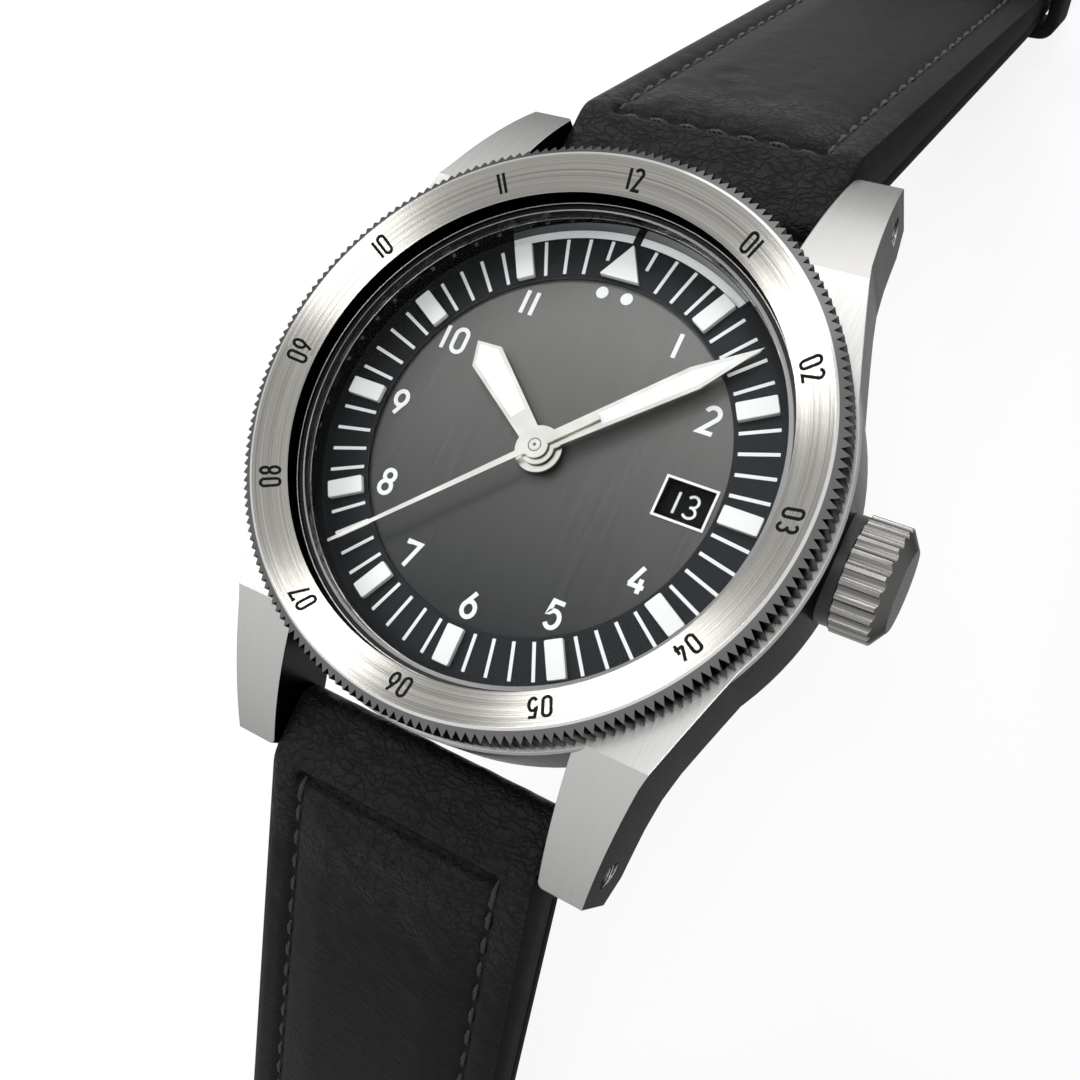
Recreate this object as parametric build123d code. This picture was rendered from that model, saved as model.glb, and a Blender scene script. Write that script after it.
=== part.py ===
from build123d import *
import math
import os

os.makedirs("parts", exist_ok=True)

# Pilot watch, in millimetres. +Z comes out of the dial, +X points to 3 o'clock and +Y to 12 o'clock.
# The origin is the middle of the flat case back, and heights are above that face.

# Shared clearances
overrun = 2.0             # how far a cut runs past what it cuts
running_fit = 0.05        # radial play of a shaft in its hole
face_play = 0.05          # play between faces that turn on each other

# Dial
dial_height = 8.4         # top of the dial's outer ring
dial_play = 0.1           # between the dial's rim and the flange's outer side
dial_thickness = 0.6
dial_sink = 0.25          # the middle of the dial lies this far below its ring
dial_middle_inset = 0.3   # from the inner end of the markers
window_inset = 2.13       # from the rim of the dial's middle to the date window's middle
window_width = 3.2
window_length = 2.45
window_frame_width = 0.16
window_frame_rise = 0.08

# Raised hour markers
marker_inset = 0.65       # from the polished wall to the markers' outer ends
marker_length = 2.57
marker_width = 1.22
marker_rise = 0.4
marker_corner = 0.06
triangle_inset = 0.77
triangle_length = 2.5
triangle_base_width = 2.87

# Flange, crystal and the collar that holds it, from the case's flank inwards
collar_step = 2.5
collar_wall = 0.97
collar_over_crystal = 0.05
collar_over_case = 0.9
crystal_gasket_width = 0.25
crystal_thickness = 0.95
crystal_bevel = 0.25
ledge_width = 0.26        # how far the ledge reaches in under the crystal
ledge_thickness = 0.3
flange_wall = 0.48
flange_rise = 1.3

# Mid case
case_radius = 19.8
case_edge = 0.15
case_flank_bottom = 3.2
case_underside_inset = 1.2
case_underside_height = 1.4

# Lugs. Widths are outwards from the lug's inner face, lengths from the spring bar, drops below the dial ring
lug_gap = 21.2
lug_start_bearing = 22.2  # where the lug's side starts, from 3 o'clock
lug_start_depth = 0.25    # inside the case's flank
lug_waist_width = 4.5
lug_waist_back = 5.6
lug_tip_width = 3.15
lug_tip_ahead = 2.5
lug_side_hollow = 0.05
lug_root_back = 10.6
lug_shoulder_back = 6.6
lug_bow_back = 2.0
lug_bow_drop = 0.5
lug_tip_drop = 3.75
lug_foot_ahead = 2.1
lug_foot_drop = 8.3
lug_arch_back = 3.4
lug_arch_drop = 6.3
lug_arch_root_back = 7.6
lug_arch_root_drop = 4.8
lug_corner = 0.4
lug_edge_tilt = 15.0      # degrees: the tip's edges lean less than this

# Spring bars
bar_standoff = 2.8        # from the case's flank to the bar
bar_drop = 4.85           # below the dial ring
bar_radius = 0.9
bar_end_play = 0.3
bar_tip_radius = 0.55
bar_tip_overlap = 1.7     # length of each tip inside the tube
bar_tip_bite = 3.1        # length of each tip inside its lug
lug_hole_mouth_radius = 0.95
lug_hole_mouth_place = 3.35

# Toothed bezel. Heights are above its lower face, insets from the case's flank inwards
bezel_gap = 0.35          # between the case and the bezel
bezel_inset = 0.3
bezel_groove_depth = 0.5
bezel_tooth_count = 200
bezel_cone_width = 0.66   # the cone between the chamfer and the teeth
bezel_chamfer_width = 0.25
bezel_sight_play = 0.3    # from the crystal's rim to the bezel's inner edge
bezel_sight_rise = 1.88
bezel_face_rise = 2.81
bezel_chamfer_rise = 2.66
bezel_tooth_rise = 2.23
retainer_wire_radius = 0.13
retainer_play = 0.05
retainer_height = 0.3     # above the bezel's lower face
bezel_spring_thickness = 0.25
bezel_spring_inset = 1.0
bezel_spring_width = 0.9

# The screwed back
back_inset = 0.4          # from the case's underside to the rim of the back
back_edge_chamfer = 0.5
back_land = 1.15          # from the rim in to the thread
back_thread_rise = 1.2
back_floor = 1.2
back_wall = 0.85
back_notch_count = 6
back_notch_width = 2.4
back_notch_length = 1.3
back_notch_depth = 0.7
back_gasket_place = 0.55  # outwards from the thread
back_gasket_wire_radius = 0.24

# Hands: heights are above the dial ring
hour_hand_height = 0.3
hour_hand_thickness = 0.2
hour_hand_length = 9.34
hour_hand_shoulder = 7.9
hour_hand_shoulder_width = 2.33
hour_hand_root = 1.1
hour_hand_root_width = 1.36
hour_lume_start = 3.0
hour_eye_radius = 1.6
minute_hand_height = 0.72
minute_hand_thickness = 0.2
minute_hand_inset = 0.54  # from the polished wall to the hand's tip
minute_hand_shoulder = 10.76
minute_hand_shoulder_width = 1.61
minute_hand_root = 0.8
minute_hand_root_width = 1.13
minute_lume_start = 4.45
minute_eye_radius = 1.15
lume_border = 0.27
lume_thickness = 0.12
second_hand_height = 1.1
second_hand_thickness = 0.12
second_hand_inset = 0.43
second_hand_width = 0.45
second_tail_length = 4.44
second_tail_width = 0.5
second_eye_radius = 0.85
second_cap_radius = 0.32
second_cap_rise = 0.08
hour_hand_angle = 52.7    # degrees from +Y, counterclockwise
minute_hand_angle = -46.5
second_hand_angle = 135.1

# Movement. Margins are measured in from the rim of its plate
movement_radius = 12.8
ring_play = 0.05
plate_thickness = 2.0
date_pocket_depth = 0.5
date_pocket_margin = 0.45
date_ring_play = 0.15
date_ring_width = 4.3
date_ring_thickness = 0.2
date_ring_drop = 0.25     # below the dial's lower face
date_tooth_count = 31
date_tooth_depth = 0.45
date_tooth_width = 0.9
works_pocket_depth = 1.25
works_pocket_radius = 6.2
train_gap = 1.9
bridge_thickness = 0.7
bridge_margin = 0.6
bridge_split = 1.3        # how far the train bridge reaches past the middle
bridge_seam = 0.2
bridge_right = 2.9
cock_width = 2.4
arbor_radius = 0.15
jewel_radius = 0.55
pillar_radius = 0.9
pillar_margin = 0.25      # from the rim of the bridges
barrel_pillar_bearings = (20, 160)
train_pillar_bearings = (200, 250)
cock_pillar_bearing = 336
screw_head_radius = 0.75
screw_head_thickness = 0.25
screw_radius = 0.35

# Motion works under the dial
works_distance = 2.9
works_bearing = 135.0
works_post_rise = 0.8
cannon_leaf_count = 12
cannon_leaf_length = 0.5
minute_wheel_count = 36
minute_pinion_count = 10
hour_wheel_count = 40
cannon_radius = 0.6
cannon_bore_radius = 0.2
hour_tube_radius = 0.95
wheel_thickness = 0.2

# Going train: distances from the middle, bearings in degrees counterclockwise from +X
third_distance = 3.6
third_bearing = 180.0
escape_distance = 3.6
escape_bearing = 300.0
fork_distance = 6.5
balance_distance = 8.9
barrel_margin = 0.4
barrel_bearing = 90.0
centre_wheel_count = 80
third_pinion_count = 10
third_wheel_count = 75
fourth_pinion_count = 10
fourth_wheel_count = 80
escape_pinion_count = 8
escape_tooth_count = 15
escape_radius = 2.0
idler_levels = 2.0        # wheel levels from the intermediate wheel down to the centre wheel
train_levels = 1.5        # wheel levels from each later wheel to the next
barrel_tooth_count = 88
barrel_radius = 4.4
centre_pinion_count = 10
centre_pinion_radius = 0.5
barrel_drum_radius = 4.1
barrel_drum_height = 1.1
spring_strip = 0.16
spring_points = 24        # points to a turn of a spring
mainspring_inner_radius = 1.0
mainspring_turn_count = 6
mainspring_pitch = 0.45
balance_radius = 3.6
balance_rim_width = 0.45
balance_spoke_width = 0.4
balance_thickness = 0.35
balance_lift = 0.1        # above the balance cock
hairspring_inner_radius = 0.4
hairspring_turn_count = 6
hairspring_pitch = 0.25
hairspring_strip = 0.08
hairspring_drop = 0.3     # below the plate
fork_length = 1.9
fork_width = 0.3
fork_arm_length = 0.85
roller_radius = 0.45

# Rotor
rotor_margin = 0.4
rotor_rim_width = 1.6
rotor_thickness = 0.3
rotor_rim_thickness = 0.8
rotor_drop = 0.35
rotor_hub_radius = 1.8
bearing_radius = 1.0
bearing_flange_radius = 1.4

# The crown, its tube and the stem. Reaches are measured out from the case's flank
crown_drop = 3.0          # axis of the crown below the dial ring
crown_standoff = 0.65
crown_flute_length = 2.35
crown_length = 3.05
crown_radius = 3.7
crown_flute_count = 24
crown_flute_radius = 0.42
crown_dome_radius = 2.6
crown_bore_depth = 1.85
crown_collar_radius = 3.5
crown_collar_gap = 0.05
crown_tube_radius = 1.5
crown_tube_bore_radius = 0.75
crown_tube_seat = 2.8     # depth of the tube in the case
crown_tube_reach = 2.1
crown_gasket_length = 0.7
stem_radius = 0.5
stem_reach = 3.8          # inwards from the rim of the plate
stem_groove_radius = 0.3
stem_groove_width = 0.4
stem_groove_setback = 1.0
setting_lever_length = 1.6
setting_lever_thickness = 0.3
setting_lever_drop = 1.4  # below the plate
setting_post_radius = 0.13

# Strap. It falls away on both sides and its ends lie flat on the floor
strap_lug_play = 0.2      # on each side, between the lugs
strap_end_width = 18.0
strap_taper_along = 39.4  # level distance from the bar to where the strap narrows
floor_drop = 48.0         # the floor below the dial ring
strap_roll_reach = 2.5    # from the bar to the end of the strap that faces the case
strap_roll_rise = 1.35
strap_roll_corner = 1.25
strap_root_along = 6.0
strap_root_thickness = 5.3
strap_end_along = 66.0
strap_end_thickness = 3.0
strap_bend_radius = 10.0
strap_hole_play = 0.1
strap_heel = 0.6
lining_thickness = 1.1
upper_fall = 40.5         # degrees below level, 12 o'clock half
upper_rise = 3.6
lower_fall = 37.5         # 6 o'clock half
lower_rise = 2.9
tail_length = 46.0        # flat part of the 6 o'clock half
tail_tip_radius = 7.5
tail_hole_count = 6
tail_hole_pitch = 5.8
tail_hole_radius = 1.0
tail_hole_stretch = 0.6
tail_hole_first = 12.0    # from the tip

# Buckle
pin_reach = 14.6          # from the foot of the slope to the buckle pin
pin_radius = 0.6
frame_arm_width = 1.9
frame_thickness = 2.2
frame_reach = 8.6
frame_bar_width = 2.3
frame_heel = 1.3
frame_corner = 1.6
strap_side_play = 0.3     # between the strap's end and the arms of the frame
prong_width = 2.0
prong_thickness = 1.0
prong_eye_radius = 1.15
prong_overhang = 0.7
slot_play = 0.3
slot_length = 5.0
keeper_width = 5.0
keeper_thickness = 1.1
keeper_room = 3.6         # height left for the tail
keeper_play = 0.3
fixed_keeper_place = 4.6  # from the buckle pin to the keeper's near edge
loose_keeper_place = 56.5

# Worked-out radii, from the case's flank inwards
collar_radius = case_radius - collar_step
crystal_radius = collar_radius - collar_wall - crystal_gasket_width
sight_radius = crystal_radius - ledge_width
flange_radius = sight_radius + flange_wall
dial_radius = flange_radius - dial_play
case_bore_radius = flange_radius + running_fit
case_underside_radius = case_radius - case_underside_inset
back_radius = case_underside_radius - back_inset
back_thread_radius = back_radius - back_land
back_hollow_radius = back_thread_radius - back_wall
back_gasket_radius = back_thread_radius + back_gasket_place
bezel_radius = case_radius - bezel_inset
bezel_chamfer_radius = bezel_radius - bezel_cone_width
bezel_face_radius = bezel_chamfer_radius - bezel_chamfer_width
bezel_sight_radius = crystal_radius + bezel_sight_play
bezel_spring_outer_radius = case_radius - bezel_spring_inset
bezel_spring_inner_radius = bezel_spring_outer_radius - bezel_spring_width
marker_outer_radius = sight_radius - marker_inset
marker_inner_radius = marker_outer_radius - marker_length
triangle_tip_radius = sight_radius - triangle_inset
triangle_base_radius = triangle_tip_radius - triangle_length
dial_middle_radius = marker_inner_radius - dial_middle_inset
minute_hand_length = sight_radius - minute_hand_inset
second_hand_length = sight_radius - second_hand_inset
window_place = dial_middle_radius - window_inset

# Worked-out sizes of the movement, from the rim of its plate inwards
bridge_radius = movement_radius - bridge_margin
date_pocket_radius = movement_radius - date_pocket_margin
date_ring_outer_radius = date_pocket_radius - date_ring_play
date_ring_inner_radius = date_ring_outer_radius - date_ring_width
rotor_radius = movement_radius - rotor_margin
barrel_distance = movement_radius - barrel_margin - barrel_radius
stem_start = movement_radius - stem_reach
stem_groove_place = stem_start + stem_groove_setback

# Worked-out places of the crown, the lugs and the strap
crown_start = case_radius + crown_standoff
crown_flute_end = crown_start + crown_flute_length
crown_end = crown_start + crown_length
crown_bore_end = crown_start + crown_bore_depth
crown_tube_start = case_radius - crown_tube_seat
crown_tube_end = case_radius + crown_tube_reach
bar_along = case_radius + bar_standoff
lug_inner = lug_gap / 2
lug_tip_along = bar_along + lug_tip_ahead
lug_foot_along = bar_along + lug_foot_ahead
bar_tip_end = lug_inner + bar_tip_bite
strap_width = lug_gap - 2 * strap_lug_play
strap_hole_radius = bar_radius + strap_hole_play
strap_taper_start = bar_along + strap_taper_along
frame_width = strap_end_width + 2 * (strap_side_play + frame_arm_width)

# Worked-out heights
plate_top = dial_height - dial_thickness
plate_bottom = plate_top - plate_thickness
bridge_top = plate_bottom - train_gap
bridge_bottom = bridge_top - bridge_thickness
crystal_seat = dial_height + flange_rise + ledge_thickness
crystal_top = crystal_seat + crystal_thickness
collar_top = crystal_top + collar_over_crystal
case_top = collar_top - collar_over_case
bezel_bottom = case_top + bezel_gap
crown_height = dial_height - crown_drop
bar_height = dial_height - bar_drop
floor_height = dial_height - floor_drop


def lathe(points):
    """A solid of revolution about Z from (radius, height) corners."""
    return revolve(make_face(Polyline(*[(r, 0, z) for r, z in points], close=True)), Axis.Z)


def post(radius, bottom, top, x=0, y=0):
    """An upright cylinder between two heights."""
    return Pos(x, y, bottom) * Cylinder(radius, top - bottom, align=(Align.CENTER, Align.CENTER, Align.MIN))


def ring(outer, inner, bottom, top, x=0, y=0):
    """An upright tube between two heights."""
    return post(outer, bottom, top, x, y) - post(inner, bottom - overrun, top + overrun, x, y)


def rod(radius, start, end, y, z):
    """A cylinder along X."""
    shape = Cylinder(radius, end - start, align=(Align.CENTER, Align.CENTER, Align.MIN))
    return Pos(start, y, z) * Rot(0, 90, 0) * shape


def block(x0, x1, y0, y1, z0, z1):
    """A box between two corners."""
    low = (Align.MIN, Align.MIN, Align.MIN)
    return Pos(x0, y0, z0) * Box(x1 - x0, y1 - y0, z1 - z0, align=low)


def slab(points, bottom, top):
    """A straight-sided plate from its outline in plan."""
    return Pos(0, 0, bottom) * extrude(make_face(Polyline(*points, close=True)), top - bottom)


def upright(face, half_width):
    """A profile drawn in (Y, Z), drawn out along X to both sides."""
    return extrude(Plane.YZ * face, half_width, both=True)


def polar(distance, bearing):
    """The plan point at a distance and a bearing."""
    turn = math.radians(bearing)
    return distance * math.cos(turn), distance * math.sin(turn)


def gear(pitch_radius, count, bottom, top, phase=0.0, x=0, y=0):
    """A toothed wheel with straight-sided teeth. One tooth points at the phase angle."""
    module = 2 * pitch_radius / count
    pitch = 360 / count
    tip_share, root_share = 0.8, 1.1
    tip_spread_shares, root_spread_shares = (-0.11, 0.11), (0.32, 0.68)
    points = []
    for tooth in range(count):
        start = phase + tooth * pitch
        for spread in tip_spread_shares:
            points.append(polar(pitch_radius + tip_share * module, start + spread * pitch))
        for spread in root_spread_shares:
            points.append(polar(pitch_radius - root_share * module, start + spread * pitch))
    return Pos(x, y, 0) * slab(points, bottom, top)


def meshed(phase, count, next_count, bearing):
    """The phase of a wheel whose gap takes the tooth of the wheel before it."""
    offset = phase - bearing
    return bearing + 180 + 180 / next_count - offset * count / next_count


def spiral(inner, pitch, turn_count, strip, bottom, top, x=0, y=0):
    """A flat spring: one strip wound outwards at a steady pitch."""
    steps = [step / spring_points for step in range(spring_points * turn_count + 1)]
    path = [(inner + pitch * turned, 360 * turned) for turned in steps]
    inside = [polar(radius - strip / 2, bearing) for radius, bearing in path]
    outside = [polar(radius + strip / 2, bearing) for radius, bearing in path]
    return Pos(x, y, 0) * slab(inside + outside[::-1], bottom, top)


def write(node, *solids):
    """One file for each piece, or for one group of like pieces."""
    shape = solids[0] if len(solids) == 1 else Compound(children=list(solids))
    export_step(shape, f"parts/{node}.step")


# Mid case: a turned band with four drilled lugs
def hollow_arc(start, end):
    """A lug's side in plan: an arc that dips slightly to the right of the way from start to end."""
    span = math.dist(start, end)
    x = (start[0] + end[0]) / 2 + lug_side_hollow * (end[1] - start[1]) / span
    y = (start[1] + end[1]) / 2 - lug_side_hollow * (end[0] - start[0]) / span
    return ThreePointArc(start, (x, y), end)


def lug():
    """The lug at 1 o'clock, as its plan cut by its side view."""
    root = (lug_inner, bar_along - lug_root_back)
    tip_inner = (lug_inner, lug_tip_along)
    tip_outer = (lug_inner + lug_tip_width, lug_tip_along)
    waist = (lug_inner + lug_waist_width, bar_along - lug_waist_back)
    start = polar(case_radius - lug_start_depth, lug_start_bearing)
    plan = make_face([
        Line(root, tip_inner),
        Line(tip_inner, tip_outer),
        hollow_arc(tip_outer, waist),
        hollow_arc(waist, start),
        Line(start, root),
    ])
    top = dial_height
    shoulder = (bar_along - lug_shoulder_back, case_top)
    tip = (lug_tip_along, top - lug_tip_drop)
    foot = (lug_foot_along, top - lug_foot_drop)
    heel = (bar_along, top - lug_foot_drop)
    arch = (bar_along - lug_arch_back, top - lug_arch_drop)
    arch_root = (bar_along - lug_arch_root_back, top - lug_arch_root_drop)
    side = make_face([
        Line((0, case_top), shoulder),
        ThreePointArc(shoulder, (bar_along - lug_bow_back, top - lug_bow_drop), tip),
        Line(tip, foot),
        Line(foot, heel),
        Line(heel, arch),
        Line(arch, arch_root),
        Line(arch_root, (0, arch_root[1])),
        Line((0, arch_root[1]), (0, case_top)),
    ])
    column = Pos(0, 0, -overrun) * extrude(plan, case_top + 2 * overrun)
    shape = column & upright(side, case_radius)
    tip_edges = shape.edges().filter_by(lambda edge: edge.center().Y > lug_foot_along)
    return fillet(tip_edges.filter_by(Axis.Z, tolerance=lug_edge_tilt), lug_corner)


def mid_case():
    band = lathe([
        (sight_radius, dial_height + flange_rise),
        (sight_radius, crystal_seat),
        (crystal_radius + crystal_gasket_width, crystal_seat),
        (crystal_radius + crystal_gasket_width, collar_top),
        (collar_radius, collar_top),
        (collar_radius, case_top),
        (case_radius - case_edge, case_top),
        (case_radius, case_top - case_edge),
        (case_radius, case_flank_bottom),
        (case_underside_radius, case_underside_height),
        (back_thread_radius + running_fit, case_underside_height),
        (back_thread_radius + running_fit, case_underside_height + back_thread_rise + face_play),
        (case_bore_radius, case_underside_height + back_thread_rise + face_play),
        (case_bore_radius, dial_height + flange_rise),
    ])
    one = lug() - post(back_radius, -overrun, case_top + overrun)
    lugs = [one, mirror(one, Plane.YZ), mirror(one, Plane.XZ), mirror(mirror(one, Plane.YZ), Plane.XZ)]
    for piece in lugs:
        band += piece
    hole = bar_tip_radius + running_fit
    for side in (1, -1):
        y = side * bar_along
        mouth = lug_inner + lug_hole_mouth_place
        band -= rod(hole, -case_radius, case_radius, y, bar_height)
        band -= rod(lug_hole_mouth_radius, mouth, case_radius, y, bar_height)
        band -= rod(lug_hole_mouth_radius, -case_radius, -mouth, y, bar_height)
    band -= rod(crown_tube_radius, case_bore_radius - overrun, case_radius + overrun, 0, crown_height)
    groove = 2 * back_gasket_wire_radius
    half = back_gasket_wire_radius + face_play
    band -= ring(back_gasket_radius + half, back_gasket_radius - half,
                 case_underside_height - overrun, case_underside_height + groove)
    wire = retainer_wire_radius + retainer_play
    wire_height = bezel_bottom + retainer_height
    band -= ring(case_radius, collar_radius - wire, wire_height - wire, wire_height + wire)
    return band


write("mid_case", mid_case())


# The back is a screwed cover with wrench notches
def case_back():
    cover = lathe([
        (0, 0),
        (back_radius - back_edge_chamfer, 0),
        (back_radius, back_edge_chamfer),
        (back_radius, case_underside_height),
        (back_thread_radius, case_underside_height),
        (back_thread_radius, case_underside_height + back_thread_rise),
        (back_hollow_radius, case_underside_height + back_thread_rise),
        (back_hollow_radius, back_floor),
        (0, back_floor),
    ])
    for notch in range(back_notch_count):
        start = back_radius - back_notch_length
        cut = block(start, back_radius + overrun, -back_notch_width / 2, back_notch_width / 2,
                    -overrun, back_notch_depth)
        cover -= Rot(0, 0, notch * 360 / back_notch_count) * cut
    return cover


write("case_back", case_back())
write("case_back_gasket", Pos(0, 0, case_underside_height + back_gasket_wire_radius)
      * Torus(back_gasket_radius, back_gasket_wire_radius))

# Crystal, its gasket and the polished flange below it
crystal = lathe([
    (0, crystal_seat),
    (crystal_radius, crystal_seat),
    (crystal_radius, crystal_top - crystal_bevel),
    (crystal_radius - crystal_bevel, crystal_top),
    (0, crystal_top),
])
write("crystal", crystal)
write("crystal_gasket", ring(crystal_radius + crystal_gasket_width, crystal_radius, crystal_seat,
                             crystal_top - crystal_bevel))
write("flange_ring", ring(flange_radius, sight_radius, dial_height, dial_height + flange_rise))


# Bezel: a dished ring with a toothed edge, a wire that holds it and a flat spring under it
def tooth_outline():
    """The toothed edge in plan: V grooves between narrow ridges."""
    pitch = 360 / bezel_tooth_count
    ridge_share = 0.03
    points = []
    for tooth in range(bezel_tooth_count):
        start = tooth * pitch
        points.append(polar(bezel_radius - bezel_groove_depth, start))
        points.append(polar(bezel_radius, start + (0.5 - ridge_share) * pitch))
        points.append(polar(bezel_radius, start + (0.5 + ridge_share) * pitch))
    return points


def bezel():
    lip = collar_top + face_play
    bore = collar_radius + running_fit
    turned = lathe([
        (bore, bezel_bottom),
        (bezel_radius + overrun, bezel_bottom),
        (bezel_radius + overrun, bezel_bottom + bezel_tooth_rise
         - overrun * (bezel_chamfer_rise - bezel_tooth_rise) / (bezel_radius - bezel_chamfer_radius)),
        (bezel_chamfer_radius, bezel_bottom + bezel_chamfer_rise),
        (bezel_face_radius, bezel_bottom + bezel_face_rise),
        (bezel_sight_radius, bezel_bottom + bezel_sight_rise),
        (bezel_sight_radius, lip),
        (bore, lip),
    ])
    toothed = slab(tooth_outline(), bezel_bottom, bezel_bottom + bezel_face_rise)
    wire = retainer_wire_radius + retainer_play
    wire_height = bezel_bottom + retainer_height
    groove = ring(bore + wire, bezel_sight_radius, wire_height - wire, wire_height + wire)
    return (turned & toothed) - groove


write("rotating_bezel", bezel())
write("bezel_retaining_wire", Pos(0, 0, bezel_bottom + retainer_height)
      * Torus(collar_radius + running_fit / 2, retainer_wire_radius))
write("bezel_spring", ring(bezel_spring_outer_radius, bezel_spring_inner_radius, case_top,
                           case_top + bezel_spring_thickness))


# Dial, its raised markers and the frame of the date window
def dial():
    disc = post(dial_radius, plate_top, dial_height)
    disc -= post(dial_middle_radius, dial_height - dial_sink, dial_height + overrun)
    disc -= post(hour_tube_radius + running_fit, plate_top - overrun, dial_height + overrun)
    half_width, half_length = window_width / 2, window_length / 2
    return disc - block(window_place - half_width, window_place + half_width, -half_length, half_length,
                        plate_top - overrun, dial_height + overrun)


write("dial", dial())


def hour_block():
    low, high = -marker_width / 2, marker_width / 2
    shape = block(low, high, marker_inner_radius, marker_outer_radius, dial_height, dial_height + marker_rise)
    shape = fillet(shape.edges().filter_by(Axis.Z), 2 * marker_corner)
    return fillet(shape.faces().sort_by(Axis.Z)[-1].edges(), marker_corner)


def triangle():
    half = triangle_base_width / 2
    shape = slab([(-half, triangle_base_radius), (half, triangle_base_radius), (0, triangle_tip_radius)],
                 dial_height, dial_height + marker_rise)
    return fillet(shape.edges().filter_by(Axis.Z) + shape.faces().sort_by(Axis.Z)[-1].edges(), marker_corner)


write("hour_markers", triangle(), *[Rot(0, 0, -30 * hour) * hour_block() for hour in range(1, 12)])


def window_frame():
    outer_x, outer_y = window_width / 2 + window_frame_width, window_length / 2 + window_frame_width
    floor = dial_height - dial_sink
    frame = block(window_place - outer_x, window_place + outer_x, -outer_y, outer_y,
                  floor, floor + window_frame_rise)
    frame -= block(window_place - window_width / 2, window_place + window_width / 2,
                   -window_length / 2, window_length / 2, floor - overrun, floor + overrun)
    return frame


write("date_window_frame", window_frame())


# Hands: a bordered blade with a luminous fill, on an eye
def blade(length, shoulder, shoulder_width, root, root_width, bottom, top):
    """A hand's blade along +Y: it widens to a shoulder and ends in a point."""
    return slab([
        (-root_width / 2, root), (-shoulder_width / 2, shoulder), (0, length),
        (shoulder_width / 2, shoulder), (root_width / 2, root),
    ], bottom, top)


def lume(length, shoulder, shoulder_width, root, root_width, start, bottom, top):
    """The luminous fill, inside the blade's border."""
    flank = (shoulder_width - root_width) / (shoulder - root) / 2
    half_start = root_width / 2 + flank * (start - root) - lume_border
    half_shoulder = shoulder_width / 2 - lume_border
    tip_slope = shoulder_width / 2 / (length - shoulder)
    tip = shoulder + half_shoulder / tip_slope
    return slab([
        (-half_start, start), (-half_shoulder, shoulder), (0, tip),
        (half_shoulder, shoulder), (half_start, start),
    ], bottom, top)


def hand_with_lume(size, lume_start, height, thickness, eye_radius, bore):
    """The metal of a hand and its fill, both along +Y."""
    bottom = dial_height + height
    top = bottom + thickness
    fill = lume(*size, lume_start, top - lume_thickness, top)
    metal = blade(*size, bottom, top) + post(eye_radius, bottom, top)
    metal -= fill
    metal -= post(bore, bottom - overrun, top + overrun)
    return metal, fill


hour_metal, hour_fill = hand_with_lume(
    (hour_hand_length, hour_hand_shoulder, hour_hand_shoulder_width, hour_hand_root, hour_hand_root_width),
    hour_lume_start, hour_hand_height, hour_hand_thickness, hour_eye_radius, hour_tube_radius)
write("hour_hand", Rot(0, 0, hour_hand_angle) * hour_metal)
write("hour_hand_lume", Rot(0, 0, hour_hand_angle) * hour_fill)

minute_metal, minute_fill = hand_with_lume(
    (minute_hand_length, minute_hand_shoulder, minute_hand_shoulder_width, minute_hand_root,
     minute_hand_root_width),
    minute_lume_start, minute_hand_height, minute_hand_thickness, minute_eye_radius, cannon_radius)
write("minute_hand", Rot(0, 0, minute_hand_angle) * minute_metal)
write("minute_hand_lume", Rot(0, 0, minute_hand_angle) * minute_fill)


def second_hand():
    bottom = dial_height + second_hand_height
    top = bottom + second_hand_thickness
    half, tail = second_hand_width / 2, second_tail_width / 2
    tip_share = 0.5
    shape = slab([(-half, 0), (-half * tip_share, second_hand_length), (half * tip_share, second_hand_length),
                  (half, 0)], bottom, top)
    shape += block(-tail, tail, -second_tail_length, 0, bottom, top)
    shape += post(second_eye_radius, bottom, top + second_cap_rise / 2)
    shape += post(second_cap_radius, bottom, top + second_cap_rise)
    return shape - post(arbor_radius, bottom - overrun, top)


write("seconds_hand", Rot(0, 0, second_hand_angle) * second_hand())

# Movement: the main plate carries the dial on one side and the train on the other
works_x, works_y = polar(works_distance, works_bearing)
third_x, third_y = polar(third_distance, third_bearing)
escape_x, escape_y = polar(escape_distance, escape_bearing)
fork_x, fork_y = polar(fork_distance, escape_bearing)
balance_x, balance_y = polar(balance_distance, escape_bearing)
barrel_x, barrel_y = polar(barrel_distance, barrel_bearing)
idler_radius = (barrel_distance - barrel_radius - centre_pinion_radius) / 2
idler_count = round(barrel_tooth_count * idler_radius / barrel_radius)
idler_x, idler_y = polar(centre_pinion_radius + idler_radius, barrel_bearing)
pillar_distance = bridge_radius - pillar_radius - pillar_margin
barrel_bridge_pillars = [polar(pillar_distance, bearing) for bearing in barrel_pillar_bearings]
train_bridge_pillars = [polar(pillar_distance, bearing) for bearing in train_pillar_bearings]
cock_pillar = polar(pillar_distance, cock_pillar_bearing)
train_pivots = [(third_x, third_y), (escape_x, escape_y), (fork_x, fork_y), (balance_x, balance_y),
                (barrel_x, barrel_y), (idler_x, idler_y)]
pillars = barrel_bridge_pillars + train_bridge_pillars + [cock_pillar]


def main_plate():
    plate = post(movement_radius, plate_bottom, plate_top)
    plate -= post(date_pocket_radius, plate_top - date_pocket_depth, plate_top + overrun)
    plate -= post(works_pocket_radius, plate_top - works_pocket_depth, plate_top + overrun)
    plate -= post(cannon_radius + running_fit, plate_bottom - overrun, plate_top + overrun)
    plate -= rod(stem_radius + running_fit, stem_start - face_play, movement_radius + overrun,
                 0, crown_height)
    for x, y in train_pivots:
        plate -= post(jewel_radius, plate_bottom - overrun, plate_bottom + bridge_thickness, x, y)
    works_floor = plate_top - works_pocket_depth
    plate += post(arbor_radius, works_floor, works_floor + works_post_rise, works_x, works_y)
    for x, y in pillars:
        plate -= post(screw_radius, plate_bottom - overrun, plate_bottom + bridge_thickness, x, y)
    return plate


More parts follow.
